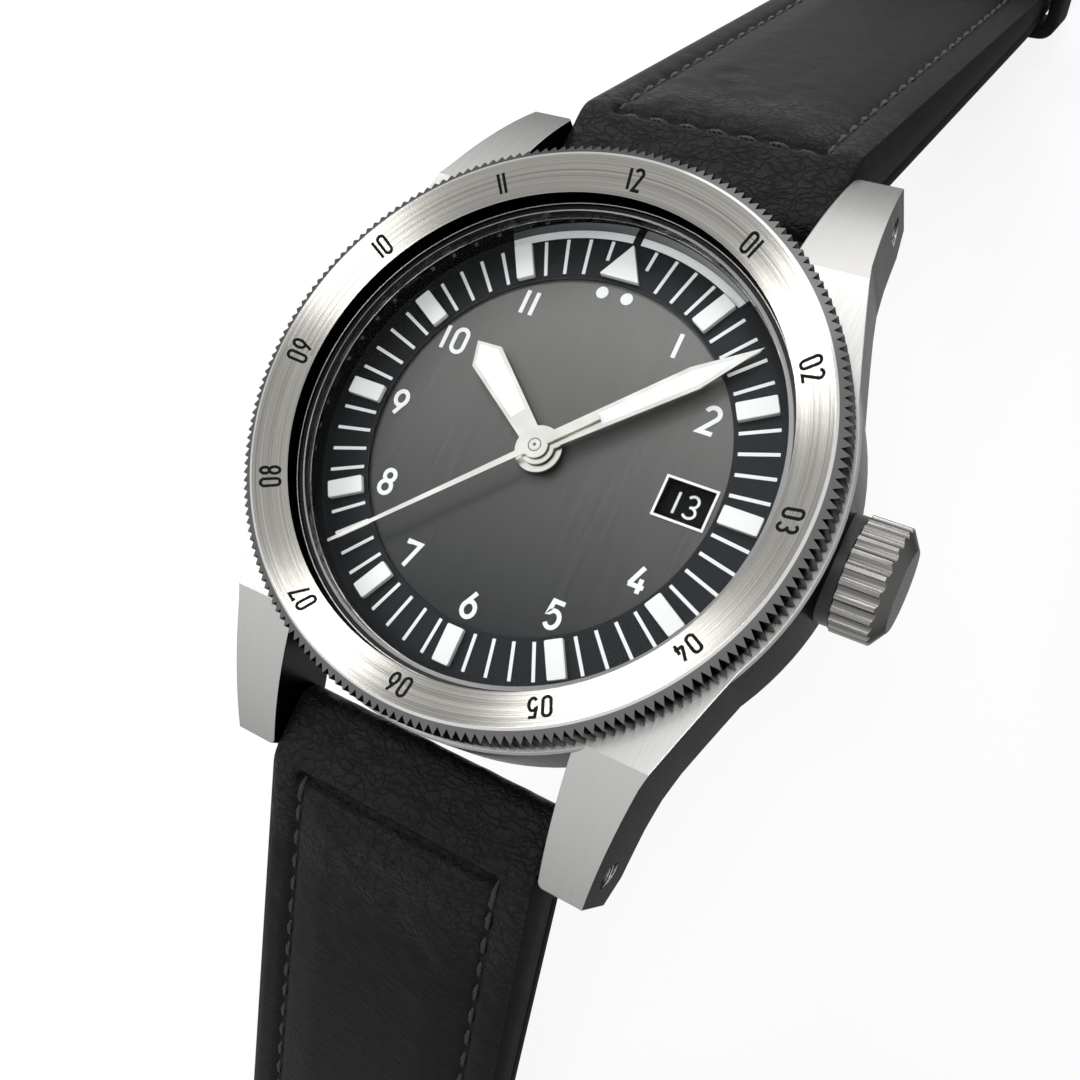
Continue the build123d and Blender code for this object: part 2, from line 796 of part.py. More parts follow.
write("main_plate", main_plate())
write("movement_ring", ring(flange_radius, movement_radius + ring_play, bridge_top, plate_top)
      - rod(stem_radius + running_fit, movement_radius - overrun, flange_radius + overrun, 0, crown_height))


def bridge(outline, pivots, feet):
    """A flat bridge under the train, standing on pillars, with holes for jewels and screws."""
    shape = slab(outline, bridge_bottom, bridge_top) & post(bridge_radius, bridge_bottom, bridge_top)
    for x, y in feet:
        shape += post(pillar_radius, bridge_bottom, plate_bottom, x, y)
    for x, y in feet:
        shape -= post(screw_radius, bridge_bottom - overrun, plate_bottom + overrun, x, y)
    for x, y in pivots:
        shape -= post(jewel_radius, bridge_bottom - overrun, bridge_top + overrun, x, y)
    return shape


barrel_bridge = bridge(
    [(-bridge_radius, bridge_split + bridge_seam), (bridge_radius, bridge_split + bridge_seam),
     (bridge_radius, bridge_radius), (-bridge_radius, bridge_radius)],
    [(barrel_x, barrel_y)], barrel_bridge_pillars)
train_bridge = bridge(
    [(-bridge_radius, bridge_split), (bridge_right, bridge_split), (bridge_right, -bridge_radius),
     (-bridge_radius, -bridge_radius)],
    [(0, 0), (third_x, third_y), (escape_x, escape_y)], train_bridge_pillars)
write("barrel_bridge", barrel_bridge)
write("train_bridge", train_bridge)


def cock(foot, end, width):
    """A narrow arm from its pillar to the pivot that it holds."""
    length = math.dist(foot, end)
    turn = math.degrees(math.atan2(end[1] - foot[1], end[0] - foot[0]))
    arm = extrude(SlotCenterToCenter(length, width), bridge_thickness)
    arm = Pos(foot[0], foot[1], bridge_bottom) * Rot(0, 0, turn) * Pos(length / 2, 0, 0) * arm
    arm += post(pillar_radius, bridge_bottom, plate_bottom, *foot)
    arm -= post(screw_radius, bridge_bottom - overrun, plate_bottom + overrun, *foot)
    return arm - post(jewel_radius, bridge_bottom - overrun, bridge_top + overrun, *end)


write("balance_cock", cock(cock_pillar, (balance_x, balance_y), cock_width))


def jewel(x, y, bottom, top, pivot):
    return ring(jewel_radius, pivot + running_fit, bottom, top, x, y)


bridge_pivots = [(third_x, third_y), (escape_x, escape_y), (barrel_x, barrel_y)]
plate_jewels = [jewel(x, y, plate_bottom, plate_bottom + bridge_thickness, arbor_radius)
                for x, y in train_pivots]
bridge_jewels = [jewel(x, y, bridge_bottom, bridge_top, arbor_radius) for x, y in bridge_pivots]
end_jewel = jewel(balance_x, balance_y, bridge_bottom, bridge_top, arbor_radius)
middle_jewel = jewel(0, 0, bridge_bottom, bridge_top, arbor_radius)
write("jewels", *plate_jewels, *bridge_jewels, end_jewel, middle_jewel)


def bridge_screw(x, y):
    head = post(screw_head_radius, bridge_bottom - screw_head_thickness, bridge_bottom, x, y)
    return head + post(screw_radius, bridge_bottom, plate_bottom + bridge_thickness, x, y)


write("bridge_screws", *[bridge_screw(x, y) for x, y in pillars])

# Motion works: cannon pinion, minute wheel and hour wheel turn the hands twelve to one
works_floor = plate_top - works_pocket_depth
cannon_pitch = works_distance * cannon_leaf_count / (cannon_leaf_count + minute_wheel_count)
minute_wheel_pitch = works_distance - cannon_pitch
minute_pinion_pitch = works_distance * minute_pinion_count / (minute_pinion_count + hour_wheel_count)
hour_wheel_pitch = works_distance - minute_pinion_pitch
leaf_top = works_floor + face_play + cannon_leaf_length
hour_wheel_bottom = leaf_top + face_play
hour_wheel_top = hour_wheel_bottom + wheel_thickness
minute_hand_top = dial_height + minute_hand_height + minute_hand_thickness
hour_hand_top = dial_height + hour_hand_height + hour_hand_thickness

cannon = gear(cannon_pitch, cannon_leaf_count, works_floor + face_play, leaf_top)
cannon += post(cannon_radius, leaf_top, minute_hand_top)
cannon -= post(cannon_bore_radius, works_floor - overrun, minute_hand_top + overrun)
write("cannon_pinion", cannon)

minute_phase = meshed(0, cannon_leaf_count, minute_wheel_count, works_bearing)
minute_wheel = gear(minute_wheel_pitch, minute_wheel_count, works_floor + face_play,
                    works_floor + face_play + wheel_thickness, minute_phase, works_x, works_y)
minute_wheel += gear(minute_pinion_pitch, minute_pinion_count, works_floor + face_play, hour_wheel_top,
                     minute_phase, works_x, works_y)
minute_wheel -= post(arbor_radius + running_fit, works_floor - overrun, plate_top + overrun, works_x, works_y)
write("minute_wheel", minute_wheel)

hour_phase = meshed(minute_phase, minute_pinion_count, hour_wheel_count, works_bearing + 180)
hour_wheel = gear(hour_wheel_pitch, hour_wheel_count, hour_wheel_bottom, hour_wheel_top, hour_phase)
hour_wheel += post(hour_tube_radius, hour_wheel_top, hour_hand_top)
hour_wheel -= post(cannon_radius + running_fit, works_floor, hour_hand_top + overrun)
write("hour_wheel", hour_wheel)


# Date ring: numbered on top, with inner teeth
def date_ring():
    top = plate_top - date_ring_drop
    shape = ring(date_ring_outer_radius, date_ring_inner_radius, top - date_ring_thickness, top)
    gap_length = date_tooth_depth
    for tooth in range(date_tooth_count):
        cut = block(date_ring_inner_radius - overrun, date_ring_inner_radius + gap_length,
                    -date_tooth_width / 2, date_tooth_width / 2, top - overrun, top + overrun)
        shape -= Rot(0, 0, (tooth + 0.5) * 360 / date_tooth_count) * cut
    return shape


write("date_ring", date_ring())

# Going train. Levels run down from the plate
level = wheel_thickness + face_play
idler_level = plate_bottom - level
centre_level = idler_level - idler_levels * level
third_level = centre_level - train_levels * level
fourth_level = third_level - train_levels * level


def arbor(x, y, bottom=bridge_bottom):
    """A thin shaft in a jewel of the plate, and in one of the bridge where it reaches that far."""
    return post(arbor_radius, bottom, plate_bottom + bridge_thickness, x, y)


centre_pitch = third_distance * centre_wheel_count / (centre_wheel_count + third_pinion_count)
third_pinion_pitch = third_distance - centre_pitch
third_pitch = third_distance * third_wheel_count / (third_wheel_count + fourth_pinion_count)
fourth_pinion_pitch = third_distance - third_pitch
fourth_pitch = escape_distance * fourth_wheel_count / (fourth_wheel_count + escape_pinion_count)
escape_pinion_pitch = escape_distance - fourth_pitch

centre_wheel = gear(centre_pitch, centre_wheel_count, centre_level, centre_level + wheel_thickness)
centre_wheel += gear(centre_pinion_radius, centre_pinion_count, centre_level, plate_bottom - face_play)
centre_wheel -= post(cannon_bore_radius, bridge_bottom, plate_top)
write("centre_wheel", centre_wheel)

third_phase = meshed(0, centre_wheel_count, third_pinion_count, third_bearing)
third_wheel = gear(third_pinion_pitch, third_pinion_count, third_level, centre_level + level,
                   third_phase, third_x, third_y)
third_wheel += gear(third_pitch, third_wheel_count, third_level, third_level + wheel_thickness,
                    third_phase, third_x, third_y)
third_wheel += arbor(third_x, third_y)
write("third_wheel", third_wheel)

fourth_phase = meshed(third_phase, third_wheel_count, fourth_pinion_count, third_bearing + 180)
fourth_wheel = gear(fourth_pinion_pitch, fourth_pinion_count, fourth_level, third_level + level,
                    fourth_phase)
fourth_wheel += gear(fourth_pitch, fourth_wheel_count, fourth_level, fourth_level + wheel_thickness,
                     fourth_phase)
fourth_wheel += post(arbor_radius, bridge_bottom, dial_height + second_hand_height + second_hand_thickness)
write("fourth_wheel", fourth_wheel)

escape_phase = meshed(fourth_phase, fourth_wheel_count, escape_pinion_count, escape_bearing)


def escape_wheel():
    """Fifteen hooked teeth on a thin wheel, over a small pinion."""
    pitch = 360 / escape_tooth_count
    root_share, hook_share = 0.78, 0.25
    points = []
    for tooth in range(escape_tooth_count):
        points.append(polar(escape_radius, tooth * pitch))
        points.append(polar(escape_radius, tooth * pitch + hook_share * pitch / 2))
        points.append(polar(escape_radius * root_share, (tooth + hook_share) * pitch))
    wheel = Pos(escape_x, escape_y, 0) * slab(points, third_level, third_level + wheel_thickness)
    wheel += gear(escape_pinion_pitch, escape_pinion_count, fourth_level, third_level, escape_phase,
                  escape_x, escape_y)
    return wheel + arbor(escape_x, escape_y)


write("escape_wheel", escape_wheel())


def pallet_fork():
    """A T-shaped lever: two arms face the escape wheel, the fork reaches for the balance roller."""
    shape = block(0, fork_length, -fork_width / 2, fork_width / 2, third_level, third_level + wheel_thickness)
    shape += block(-fork_width, fork_width, -fork_arm_length, fork_arm_length, third_level,
                   third_level + wheel_thickness)
    shape = Pos(fork_x, fork_y, 0) * Rot(0, 0, escape_bearing) * shape
    return shape + arbor(fork_x, fork_y, third_level)


write("pallet_fork", pallet_fork())

idler_phase = meshed(0, centre_pinion_count, idler_count, barrel_bearing)
idler = gear(idler_radius, idler_count, idler_level, idler_level + wheel_thickness, idler_phase,
             idler_x, idler_y)
write("intermediate_wheel", idler + arbor(idler_x, idler_y, idler_level))

barrel_phase = meshed(idler_phase, idler_count, barrel_tooth_count, barrel_bearing)
drum_bottom = idler_level - barrel_drum_height
drum_wall = wheel_thickness
barrel = gear(barrel_radius, barrel_tooth_count, idler_level, idler_level + wheel_thickness, barrel_phase,
              barrel_x, barrel_y)
barrel += ring(barrel_drum_radius, barrel_drum_radius - drum_wall, drum_bottom, idler_level,
               barrel_x, barrel_y)
barrel += post(barrel_drum_radius, drum_bottom - drum_wall, drum_bottom, barrel_x, barrel_y)
barrel += arbor(barrel_x, barrel_y)
write("barrel", barrel)
write("mainspring", spiral(mainspring_inner_radius, mainspring_pitch, mainspring_turn_count, spring_strip,
                           drum_bottom, idler_level, barrel_x, barrel_y))


# Balance: a rim on two spokes, with its roller and its flat spring
def balance_wheel():
    bottom = bridge_top + balance_lift
    top = bottom + balance_thickness
    shape = ring(balance_radius, balance_radius - balance_rim_width, bottom, top, balance_x, balance_y)
    reach = balance_radius - balance_rim_width / 2
    half = balance_spoke_width / 2
    shape += block(balance_x - reach, balance_x + reach, balance_y - half, balance_y + half, bottom, top)
    shape += post(roller_radius, bottom, top + wheel_thickness, balance_x, balance_y)
    return shape + arbor(balance_x, balance_y)


write("balance_wheel", balance_wheel())
hairspring_top = plate_bottom - hairspring_drop
hairspring_bottom = hairspring_top - wheel_thickness
write("hairspring", spiral(hairspring_inner_radius, hairspring_pitch, hairspring_turn_count,
                           hairspring_strip, hairspring_bottom, hairspring_top, balance_x, balance_y)
      + ring(hairspring_inner_radius, arbor_radius, hairspring_bottom, hairspring_top,
             balance_x, balance_y))

# Rotor: half a disc with a heavy rim, on a bearing under the train bridge
rotor_top = bridge_bottom - rotor_drop
rotor_bottom = rotor_top - rotor_thickness


def rotor():
    shape = post(rotor_radius, rotor_bottom, rotor_top)
    shape += ring(rotor_radius, rotor_radius - rotor_rim_width, rotor_top - rotor_rim_thickness, rotor_top)
    shape -= block(-rotor_radius - overrun, rotor_radius + overrun, 0, rotor_radius + overrun,
                   rotor_top - rotor_rim_thickness - overrun, rotor_top + overrun)
    shape += post(rotor_hub_radius, rotor_bottom, rotor_top)
    return shape - post(bearing_radius + running_fit, rotor_bottom - overrun, rotor_top + overrun)


write("rotor", rotor())
bearing = post(bearing_radius, rotor_bottom - face_play, bridge_bottom)
bearing += post(bearing_flange_radius, rotor_bottom - face_play - wheel_thickness, rotor_bottom - face_play)
write("rotor_bearing", bearing)


# The crown, its tube and gasket, and the stem that it turns
def crown():
    flutes = rod(crown_radius, crown_start, crown_end, 0, crown_height)
    centre = crown_radius + crown_flute_radius / 2
    for flute in range(crown_flute_count):
        y, z = polar(centre, flute * 360 / crown_flute_count)
        flutes -= rod(crown_flute_radius, crown_start - overrun, crown_end + overrun, y, crown_height + z)
    side = [
        (crown_start, 0), (crown_start, crown_radius), (crown_flute_end, crown_radius),
        (crown_end, crown_dome_radius), (crown_end, 0),
    ]
    blank = revolve(make_face(Polyline(*[(x, 0, r) for x, r in side], close=True)), Axis.X)
    body = flutes & (Pos(0, 0, crown_height) * blank)
    body -= rod(crown_tube_radius + running_fit, crown_start - overrun, crown_bore_end, 0, crown_height)
    return body + rod(stem_radius, crown_bore_end - crown_gasket_length, crown_bore_end, 0, crown_height)


write("crown", crown())


def stem():
    shaft = rod(stem_radius, stem_start, crown_bore_end - crown_gasket_length, 0, crown_height)
    half = stem_groove_width / 2
    start, end = stem_groove_place - half, stem_groove_place + half
    groove = rod(stem_radius + overrun, start, end, 0, crown_height)
    groove -= rod(stem_groove_radius, start - overrun, end + overrun, 0, crown_height)
    return shaft - groove


write("winding_stem", stem())
tube = rod(crown_tube_radius, crown_tube_start, crown_tube_end, 0, crown_height)
tube -= rod(crown_tube_bore_radius, crown_tube_start - overrun, crown_tube_end + overrun, 0, crown_height)
write("crown_tube", tube)
collar = rod(crown_collar_radius, case_bore_radius, crown_start - crown_collar_gap, 0, crown_height)
collar -= rod(crown_tube_radius, case_bore_radius - overrun, crown_start + overrun, 0, crown_height)
write("crown_collar", collar - post(case_radius, -overrun, case_top + overrun))
gasket_end = crown_bore_end
gasket = rod(crown_tube_radius, crown_tube_end + face_play, gasket_end, 0, crown_height)
gasket -= rod(stem_radius, crown_tube_end - overrun, gasket_end + overrun, 0, crown_height)
write("crown_gasket", gasket)


def setting_lever():
    """A small plate whose post runs in the groove of the stem."""
    top = plate_bottom - setting_lever_drop
    half = setting_lever_length / 2
    plate = block(stem_groove_place - half, stem_groove_place + half, -half, half,
                  top - setting_lever_thickness, top)
    post_top = crown_height - stem_groove_radius - face_play
    return plate + post(setting_post_radius, top, post_top, stem_groove_place, 0)


write("setting_lever", setting_lever())

# Spring bars: one tube and two sliding tips at each end of the watch
bar_half = lug_inner - bar_end_play


def bar_tube(y):
    tube = rod(bar_radius, -bar_half, bar_half, y, bar_height)
    return tube - rod(bar_tip_radius + running_fit, -bar_half - overrun, bar_half + overrun, y, bar_height)


write("spring_bar_tubes", bar_tube(bar_along), bar_tube(-bar_along))
for side, end_name in ((1, "12"), (-1, "6")):
    tip = rod(bar_tip_radius, bar_half - bar_tip_overlap, bar_tip_end, side * bar_along, bar_height)
    write(f"spring_bar_tip_{end_name}_crown_side", tip)
    write(f"spring_bar_tip_{end_name}_far_side", mirror(tip, Plane.YZ))


# Strap: each half is leather over a lining, with a roll round its spring bar
def strap_half(fall, rise, flat_length, band):
    """The side view of one half along +Y. band is the whole thickness, or the lining's."""
    cosine, sine = math.cos(math.radians(fall)), math.sin(math.radians(fall))

    def at(along, above):
        return (bar_along + along * cosine + above * sine, bar_height - along * sine + above * cosine)

    def down_to(start, end, height):
        share = (start[1] - height) / (start[1] - end[1])
        return (start[0] + (end[0] - start[0]) * share, height)

    under_root = at(strap_root_along, rise - strap_root_thickness)
    under_end = at(strap_end_along, rise - strap_end_thickness)
    under_foot = down_to(under_root, under_end, floor_height)
    end_y = under_foot[0] + flat_length
    if band == "lining":
        lift = lining_thickness / math.cos(math.atan2(under_root[1] - under_end[1],
                                                      under_end[0] - under_root[0]))
        top_root = (under_root[0], under_root[1] + lift)
        top_foot = down_to(top_root, (under_end[0], under_end[1] + lift), floor_height + lining_thickness)
        inner = strap_bend_radius + strap_end_thickness - lining_thickness
        corners = [
            (top_root, 0),
            (top_foot, inner),
            ((end_y, floor_height + lining_thickness), 0),
            ((end_y, floor_height), 0),
            (under_foot, strap_bend_radius + strap_end_thickness),
            (under_root, 0),
        ]
    else:
        roll_top = bar_height + strap_roll_rise
        roll_bottom = bar_height - strap_roll_reach
        front = bar_along - strap_roll_reach
        crest = down_to(at(0, rise), at(strap_end_along, rise), roll_top)
        top_foot = down_to(at(0, rise), at(strap_end_along, rise), floor_height + strap_end_thickness)
        corners = [
            ((front, roll_top), strap_roll_corner),
            (crest, strap_roll_corner),
            (top_foot, strap_bend_radius),
            ((end_y, floor_height + strap_end_thickness), 0),
            ((end_y, floor_height), 0),
            (under_foot, strap_bend_radius + strap_end_thickness),
            (under_root, strap_roll_corner),
            ((bar_along + strap_heel, roll_bottom), strap_heel),
            ((front, roll_bottom), strap_roll_reach),
        ]
    face = make_face(Polyline(*[point for point, _ in corners], close=True))
    for point, radius in corners:
        if radius:
            corner = Vector(*point)
            vertex = sorted(face.vertices(), key=lambda v: (Vector(v.X, v.Y) - corner).length)[0]
            face = fillet(vertex, radius)
    return face, under_foot, at


def strap_plan(end_y, tip_radius):
    """The outline from above: even width, then a taper to the end."""
    start = bar_along - strap_roll_reach - overrun
    half, end_half = strap_width / 2, strap_end_width / 2
    face = make_face(Polyline(
        (-half, start), (half, start), (half, strap_taper_start), (end_half, end_y),
        (-end_half, end_y), (-half, strap_taper_start), close=True))
    if tip_radius:
        face = fillet(face.vertices().sort_by(Axis.Y)[-2:], tip_radius)
    low = floor_height - overrun
    return Pos(0, 0, low) * extrude(face, dial_height - low)


def strap_pieces(fall, rise, flat_length, tip_radius):
    whole_face, foot, at = strap_half(fall, rise, flat_length, "whole")
    lining_face = strap_half(fall, rise, flat_length, "lining")[0]
    plan = strap_plan(foot[0] + flat_length, tip_radius)
    whole = upright(whole_face, strap_width) & plan
    lining = upright(lining_face, strap_width) & plan
    whole -= rod(strap_hole_radius, -strap_width, strap_width, bar_along, bar_height)
    return whole - lining, lining, foot, at


pin_end = strap_end_thickness / 2
upper_leather, upper_lining, upper_foot, on_upper = strap_pieces(upper_fall, upper_rise,
                                                                 pin_reach + pin_end, 0)
pin_y = upper_foot[0] + pin_reach
pin_z = floor_height + strap_end_thickness / 2
slot_half = prong_width / 2 + slot_play
pin_cut = rod(pin_radius, -frame_width, frame_width, pin_y, pin_z)
slot_cut = block(-slot_half, slot_half, pin_y - slot_length, pin_y + overrun + pin_end,
                 floor_height - overrun, floor_height + strap_end_thickness + overrun)


def half_width_at(y):
    """Half the strap's width at a distance from the middle of the watch."""
    share = max(0, (y - strap_taper_start) / (pin_y + pin_end - strap_taper_start))
    return (strap_width + (strap_end_width - strap_width) * share) / 2


def keeper(half_width, bottom, top, length):
    """A closed loop of leather across the strap, standing at the origin and running along +Y."""
    wall = keeper_thickness
    outer = block(-half_width - wall, half_width + wall, 0, length, bottom - wall, top + wall)
    outer = fillet(outer.edges().filter_by(Axis.Y), wall)
    return outer - block(-half_width, half_width, -overrun, length + overrun, bottom, top)


fixed_keeper_start = pin_y - fixed_keeper_place - keeper_width
fixed_bottom = floor_height + lining_thickness + keeper_thickness
fixed_keeper = Pos(0, fixed_keeper_start, 0) * keeper(
    half_width_at(fixed_keeper_start) + keeper_play, fixed_bottom,
    floor_height + strap_end_thickness + keeper_room, keeper_width)
keeper_slot = block(-strap_width, strap_width, fixed_keeper_start, fixed_keeper_start + keeper_width,
                    floor_height + lining_thickness, fixed_bottom)

write("strap_12_leather", upper_leather - pin_cut - slot_cut - keeper_slot)
write("strap_12_lining", upper_lining - pin_cut - slot_cut)
write("keeper_fixed", fixed_keeper)

under_fall = upper_fall - math.degrees(math.atan2(strap_root_thickness - strap_end_thickness,
                                                  strap_end_along - strap_root_along))
keeper_share = (loose_keeper_place - strap_root_along) / (strap_end_along - strap_root_along)
keeper_lift = upper_rise - (strap_root_thickness
                            + (strap_end_thickness - strap_root_thickness) * keeper_share)
keeper_y, keeper_z = on_upper(loose_keeper_place, keeper_lift)
loose_top = strap_root_thickness - keeper_play + keeper_room / 2
loose_keeper = keeper(strap_width / 2 + keeper_play, -keeper_play, loose_top, keeper_width)
write("keeper_loose", Pos(0, keeper_y, keeper_z) * Rot(-under_fall, 0, 0) * loose_keeper)

lower_leather, lower_lining, lower_foot, on_lower = strap_pieces(lower_fall, lower_rise, tail_length,
                                                                 tail_tip_radius)
tail_end = lower_foot[0] + tail_length
hole_outline = SlotCenterToCenter(tail_hole_stretch, 2 * tail_hole_radius, rotation=90)
for hole in range(tail_hole_count):
    place = tail_end - tail_hole_first - hole * tail_hole_pitch
    cut = Pos(0, place, floor_height - overrun) * extrude(hole_outline, strap_end_thickness + 2 * overrun)
    lower_leather -= cut
    lower_lining -= cut
write("strap_6_leather", mirror(lower_leather, Plane.XZ))
write("strap_6_lining", mirror(lower_lining, Plane.XZ))


# Buckle: a frame and a prong on one pin
def buckle_frame():
    half = frame_width / 2
    inner = half - frame_arm_width
    low, high = pin_z - frame_thickness / 2, pin_z + frame_thickness / 2
    shape = block(-half, half, pin_y - frame_heel, pin_y + frame_reach, low, high)
    shape = fillet(shape.edges().filter_by(Axis.Z).sort_by(Axis.Y)[-2:], frame_corner)
    shape -= block(-inner, inner, pin_y - frame_heel - overrun, pin_y + frame_reach - frame_bar_width,
                   low - overrun, high + overrun)
    return shape - rod(pin_radius + running_fit, -half - overrun, half + overrun, pin_y, pin_z)


write("buckle_frame", buckle_frame())
write("buckle_pin", rod(pin_radius, -frame_width / 2, frame_width / 2, pin_y, pin_z))


def buckle_prong():
    """The prong rests on the front bar and hooks over it."""
    frame_top = pin_z + frame_thickness / 2 + face_play
    end_y = pin_y + frame_reach + prong_overhang
    bar_y = pin_y + frame_reach - frame_bar_width
    arm = make_face(Polyline(
        (pin_y, pin_z), (pin_y, pin_z + prong_eye_radius), (bar_y, frame_top + prong_thickness),
        (end_y, frame_top + prong_thickness), (end_y, frame_top), (bar_y - frame_heel, frame_top),
        close=True))
    shape = upright(arm, prong_width / 2)
    shape += rod(prong_eye_radius, -prong_width / 2, prong_width / 2, pin_y, pin_z)
    return shape - rod(pin_radius + running_fit, -prong_width, prong_width, pin_y, pin_z)


write("buckle_prong", buckle_prong())
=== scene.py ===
# %% [markdown]
# # A pilot watch, dressed for its picture
# The construction is already done and comes in as a fixed frame: case, bezel, crown, dial, hands and movement at
# their real size. This file adds what a machine drawing leaves out: brushed and polished steel, a lacquered dial
# with its printing, engraved numerals, and a padded leather strap with its stitching.

# %% Load the frame
import math
import bmesh
import bpy
from mathutils import Matrix, Vector, noise


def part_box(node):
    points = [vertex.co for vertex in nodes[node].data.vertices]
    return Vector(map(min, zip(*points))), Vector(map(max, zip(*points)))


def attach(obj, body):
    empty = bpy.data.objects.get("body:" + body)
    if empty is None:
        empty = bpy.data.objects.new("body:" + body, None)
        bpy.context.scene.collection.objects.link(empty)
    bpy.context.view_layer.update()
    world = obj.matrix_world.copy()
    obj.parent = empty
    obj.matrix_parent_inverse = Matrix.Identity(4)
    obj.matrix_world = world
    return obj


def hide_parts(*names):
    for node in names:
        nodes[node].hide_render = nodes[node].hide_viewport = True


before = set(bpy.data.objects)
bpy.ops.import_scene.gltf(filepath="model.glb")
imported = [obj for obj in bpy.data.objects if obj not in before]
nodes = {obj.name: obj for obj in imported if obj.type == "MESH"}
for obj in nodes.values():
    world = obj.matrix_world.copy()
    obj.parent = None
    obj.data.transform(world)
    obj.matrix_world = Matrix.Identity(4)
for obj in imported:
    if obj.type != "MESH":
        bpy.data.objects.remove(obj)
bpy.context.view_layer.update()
MM = 0.001

# %% [markdown]
# Sizes are read from the frame where it holds them. A node's box gives its lowest and highest corner, so the dial's
# top face, the bezel's lower face and the floor need no numbers of their own.

# %% Places that later cells share
dial_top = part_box("dial")[1].z
bezel_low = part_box("rotating_bezel")[0].z
floor_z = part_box("strap_6_lining")[0].z
print("dial at", round(dial_top / MM, 2), "mm, floor at", round(floor_z / MM, 2), "mm")

# %% [markdown]
# Every colour below is an sRGB hex value, as a colour picker shows it. Shaders work in linear light, so one function
# turns the first into the second. One more small function adds a node with its settings and links.

# %% Colour and node helpers


def linear(code):
    """A hex colour as linear red, green, blue and alpha."""
    parts = [int(code[i:i + 2], 16) / 255 for i in (1, 3, 5)]
    return tuple(c / 12.92 if c <= 0.04045 else ((c + 0.055) / 1.055) ** 2.4 for c in parts) + (1.0,)


def plug(tree, node, inputs):
    """Fills a node's sockets, by name or number. A hex string stands for its colour, and a node for the first of its
    outputs that is in use."""
    for key, value in inputs.items():
        if isinstance(value, bpy.types.Node):
            value = next(socket for socket in value.outputs if socket.enabled)
        if isinstance(value, bpy.types.NodeSocket):
            tree.links.new(value, node.inputs[key])
        else:
            node.inputs[key].default_value = linear(value) if isinstance(value, str) else value


def add(tree, kind, inputs=None, **settings):
    """Adds one node. On a colour Mix node 0 is the factor, and 6 and 7 are the colours. On a Map Range node 0 is the
    value, 1 and 2 the range that it comes from, and 3 and 4 the range that it goes to."""
    node = tree.nodes.new(kind)
    for name, value in settings.items():
        setattr(node, name, value)
    plug(tree, node, inputs or {})
    return node


def start_material(name):
    """An empty material: its tree, its shader, and the object's own coordinates in millimetres."""
    material = bpy.data.materials.new(name)
    material.use_nodes = True
    tree = material.node_tree
    shader = tree.nodes["Principled BSDF"]
    place = add(tree, "ShaderNodeTexCoord")
    scaled = add(tree, "ShaderNodeVectorMath", {0: place.outputs["Object"], 3: 1 / MM}, operation="SCALE")
    print("material:", name)
    return material, tree, shader, scaled


def facing(tree):
    """The direction in which a face points, in the object's own axes. Outputs 0, 1 and 2 are its X, Y and Z."""
    return add(tree, "ShaderNodeSeparateXYZ", {0: add(tree, "ShaderNodeTexCoord").outputs["Normal"]})


def distance_to(tree, value, goal):
    """How far a value is from a goal, to either side."""
    offset = add(tree, "ShaderNodeMath", {0: value, 1: goal}, operation="SUBTRACT")
    return add(tree, "ShaderNodeMath", {0: offset}, operation="ABSOLUTE")


def polar_lines(tree, place, width, length):
    """Noise drawn out round the Z axis, as a lathe or a belt leaves on a turned face. Sizes in mm."""
    bezel_middle = 17.0     # mm from the axis, where a line has that length
    parts = add(tree, "ShaderNodeSeparateXYZ", {0: place})
    flat = add(tree, "ShaderNodeCombineXYZ", {0: parts.outputs[0], 1: parts.outputs[1]})
    radius = add(tree, "ShaderNodeVectorMath", {0: flat}, operation="LENGTH")
    angle = add(tree, "ShaderNodeMath", {0: parts.outputs[1], 1: parts.outputs[0]}, operation="ARCTAN2")
    across = add(tree, "ShaderNodeMath", {0: radius, 1: 1 / width}, operation="MULTIPLY")
    along = add(tree, "ShaderNodeMath", {0: angle, 1: bezel_middle / length}, operation="MULTIPLY")
    height = add(tree, "ShaderNodeMath", {0: parts.outputs[2], 1: 1 / width}, operation="MULTIPLY")
    warped = add(tree, "ShaderNodeCombineXYZ", {0: across, 1: along, 2: height})
    return add(tree, "ShaderNodeTexNoise", {"Vector": warped, "Scale": 1.0}), radius


def straight_lines(tree, place, size, detail=2.0):
    """Noise drawn out along one axis. size gives the grain in mm along X, Y and Z."""
    stretch = add(tree, "ShaderNodeVectorMath", {0: place, 1: tuple(1 / s for s in size)}, operation="MULTIPLY")
    return add(tree, "ShaderNodeTexNoise", {"Vector": stretch, "Scale": 1.0, "Detail": detail})


def bump(tree, shader, height, distance, strength=1.0, edge=0.0):
    """Relief of a real depth in mm, from a 0 to 1 height. edge rounds sharp edges by that radius in mm."""
    inputs = {"Height": height, "Distance": distance * MM, "Strength": strength}
    if edge:
        inputs["Normal"] = add(tree, "ShaderNodeBevel", {"Radius": edge * MM}, samples=6)
    plug(tree, shader, {"Normal": add(tree, "ShaderNodeBump", inputs)})


def clouded(tree, shader, place, dark, light, scale, detail=2.0):
    """A base colour that drifts between two tones in soft clouds. The clouds come back for other uses."""
    cloud = add(tree, "ShaderNodeTexNoise", {"Vector": place, "Scale": scale, "Detail": detail})
    plug(tree, shader, {"Base Color": add(tree, "ShaderNodeMix", {0: cloud, 6: dark, 7: light}, data_type="RGBA")})
    return cloud
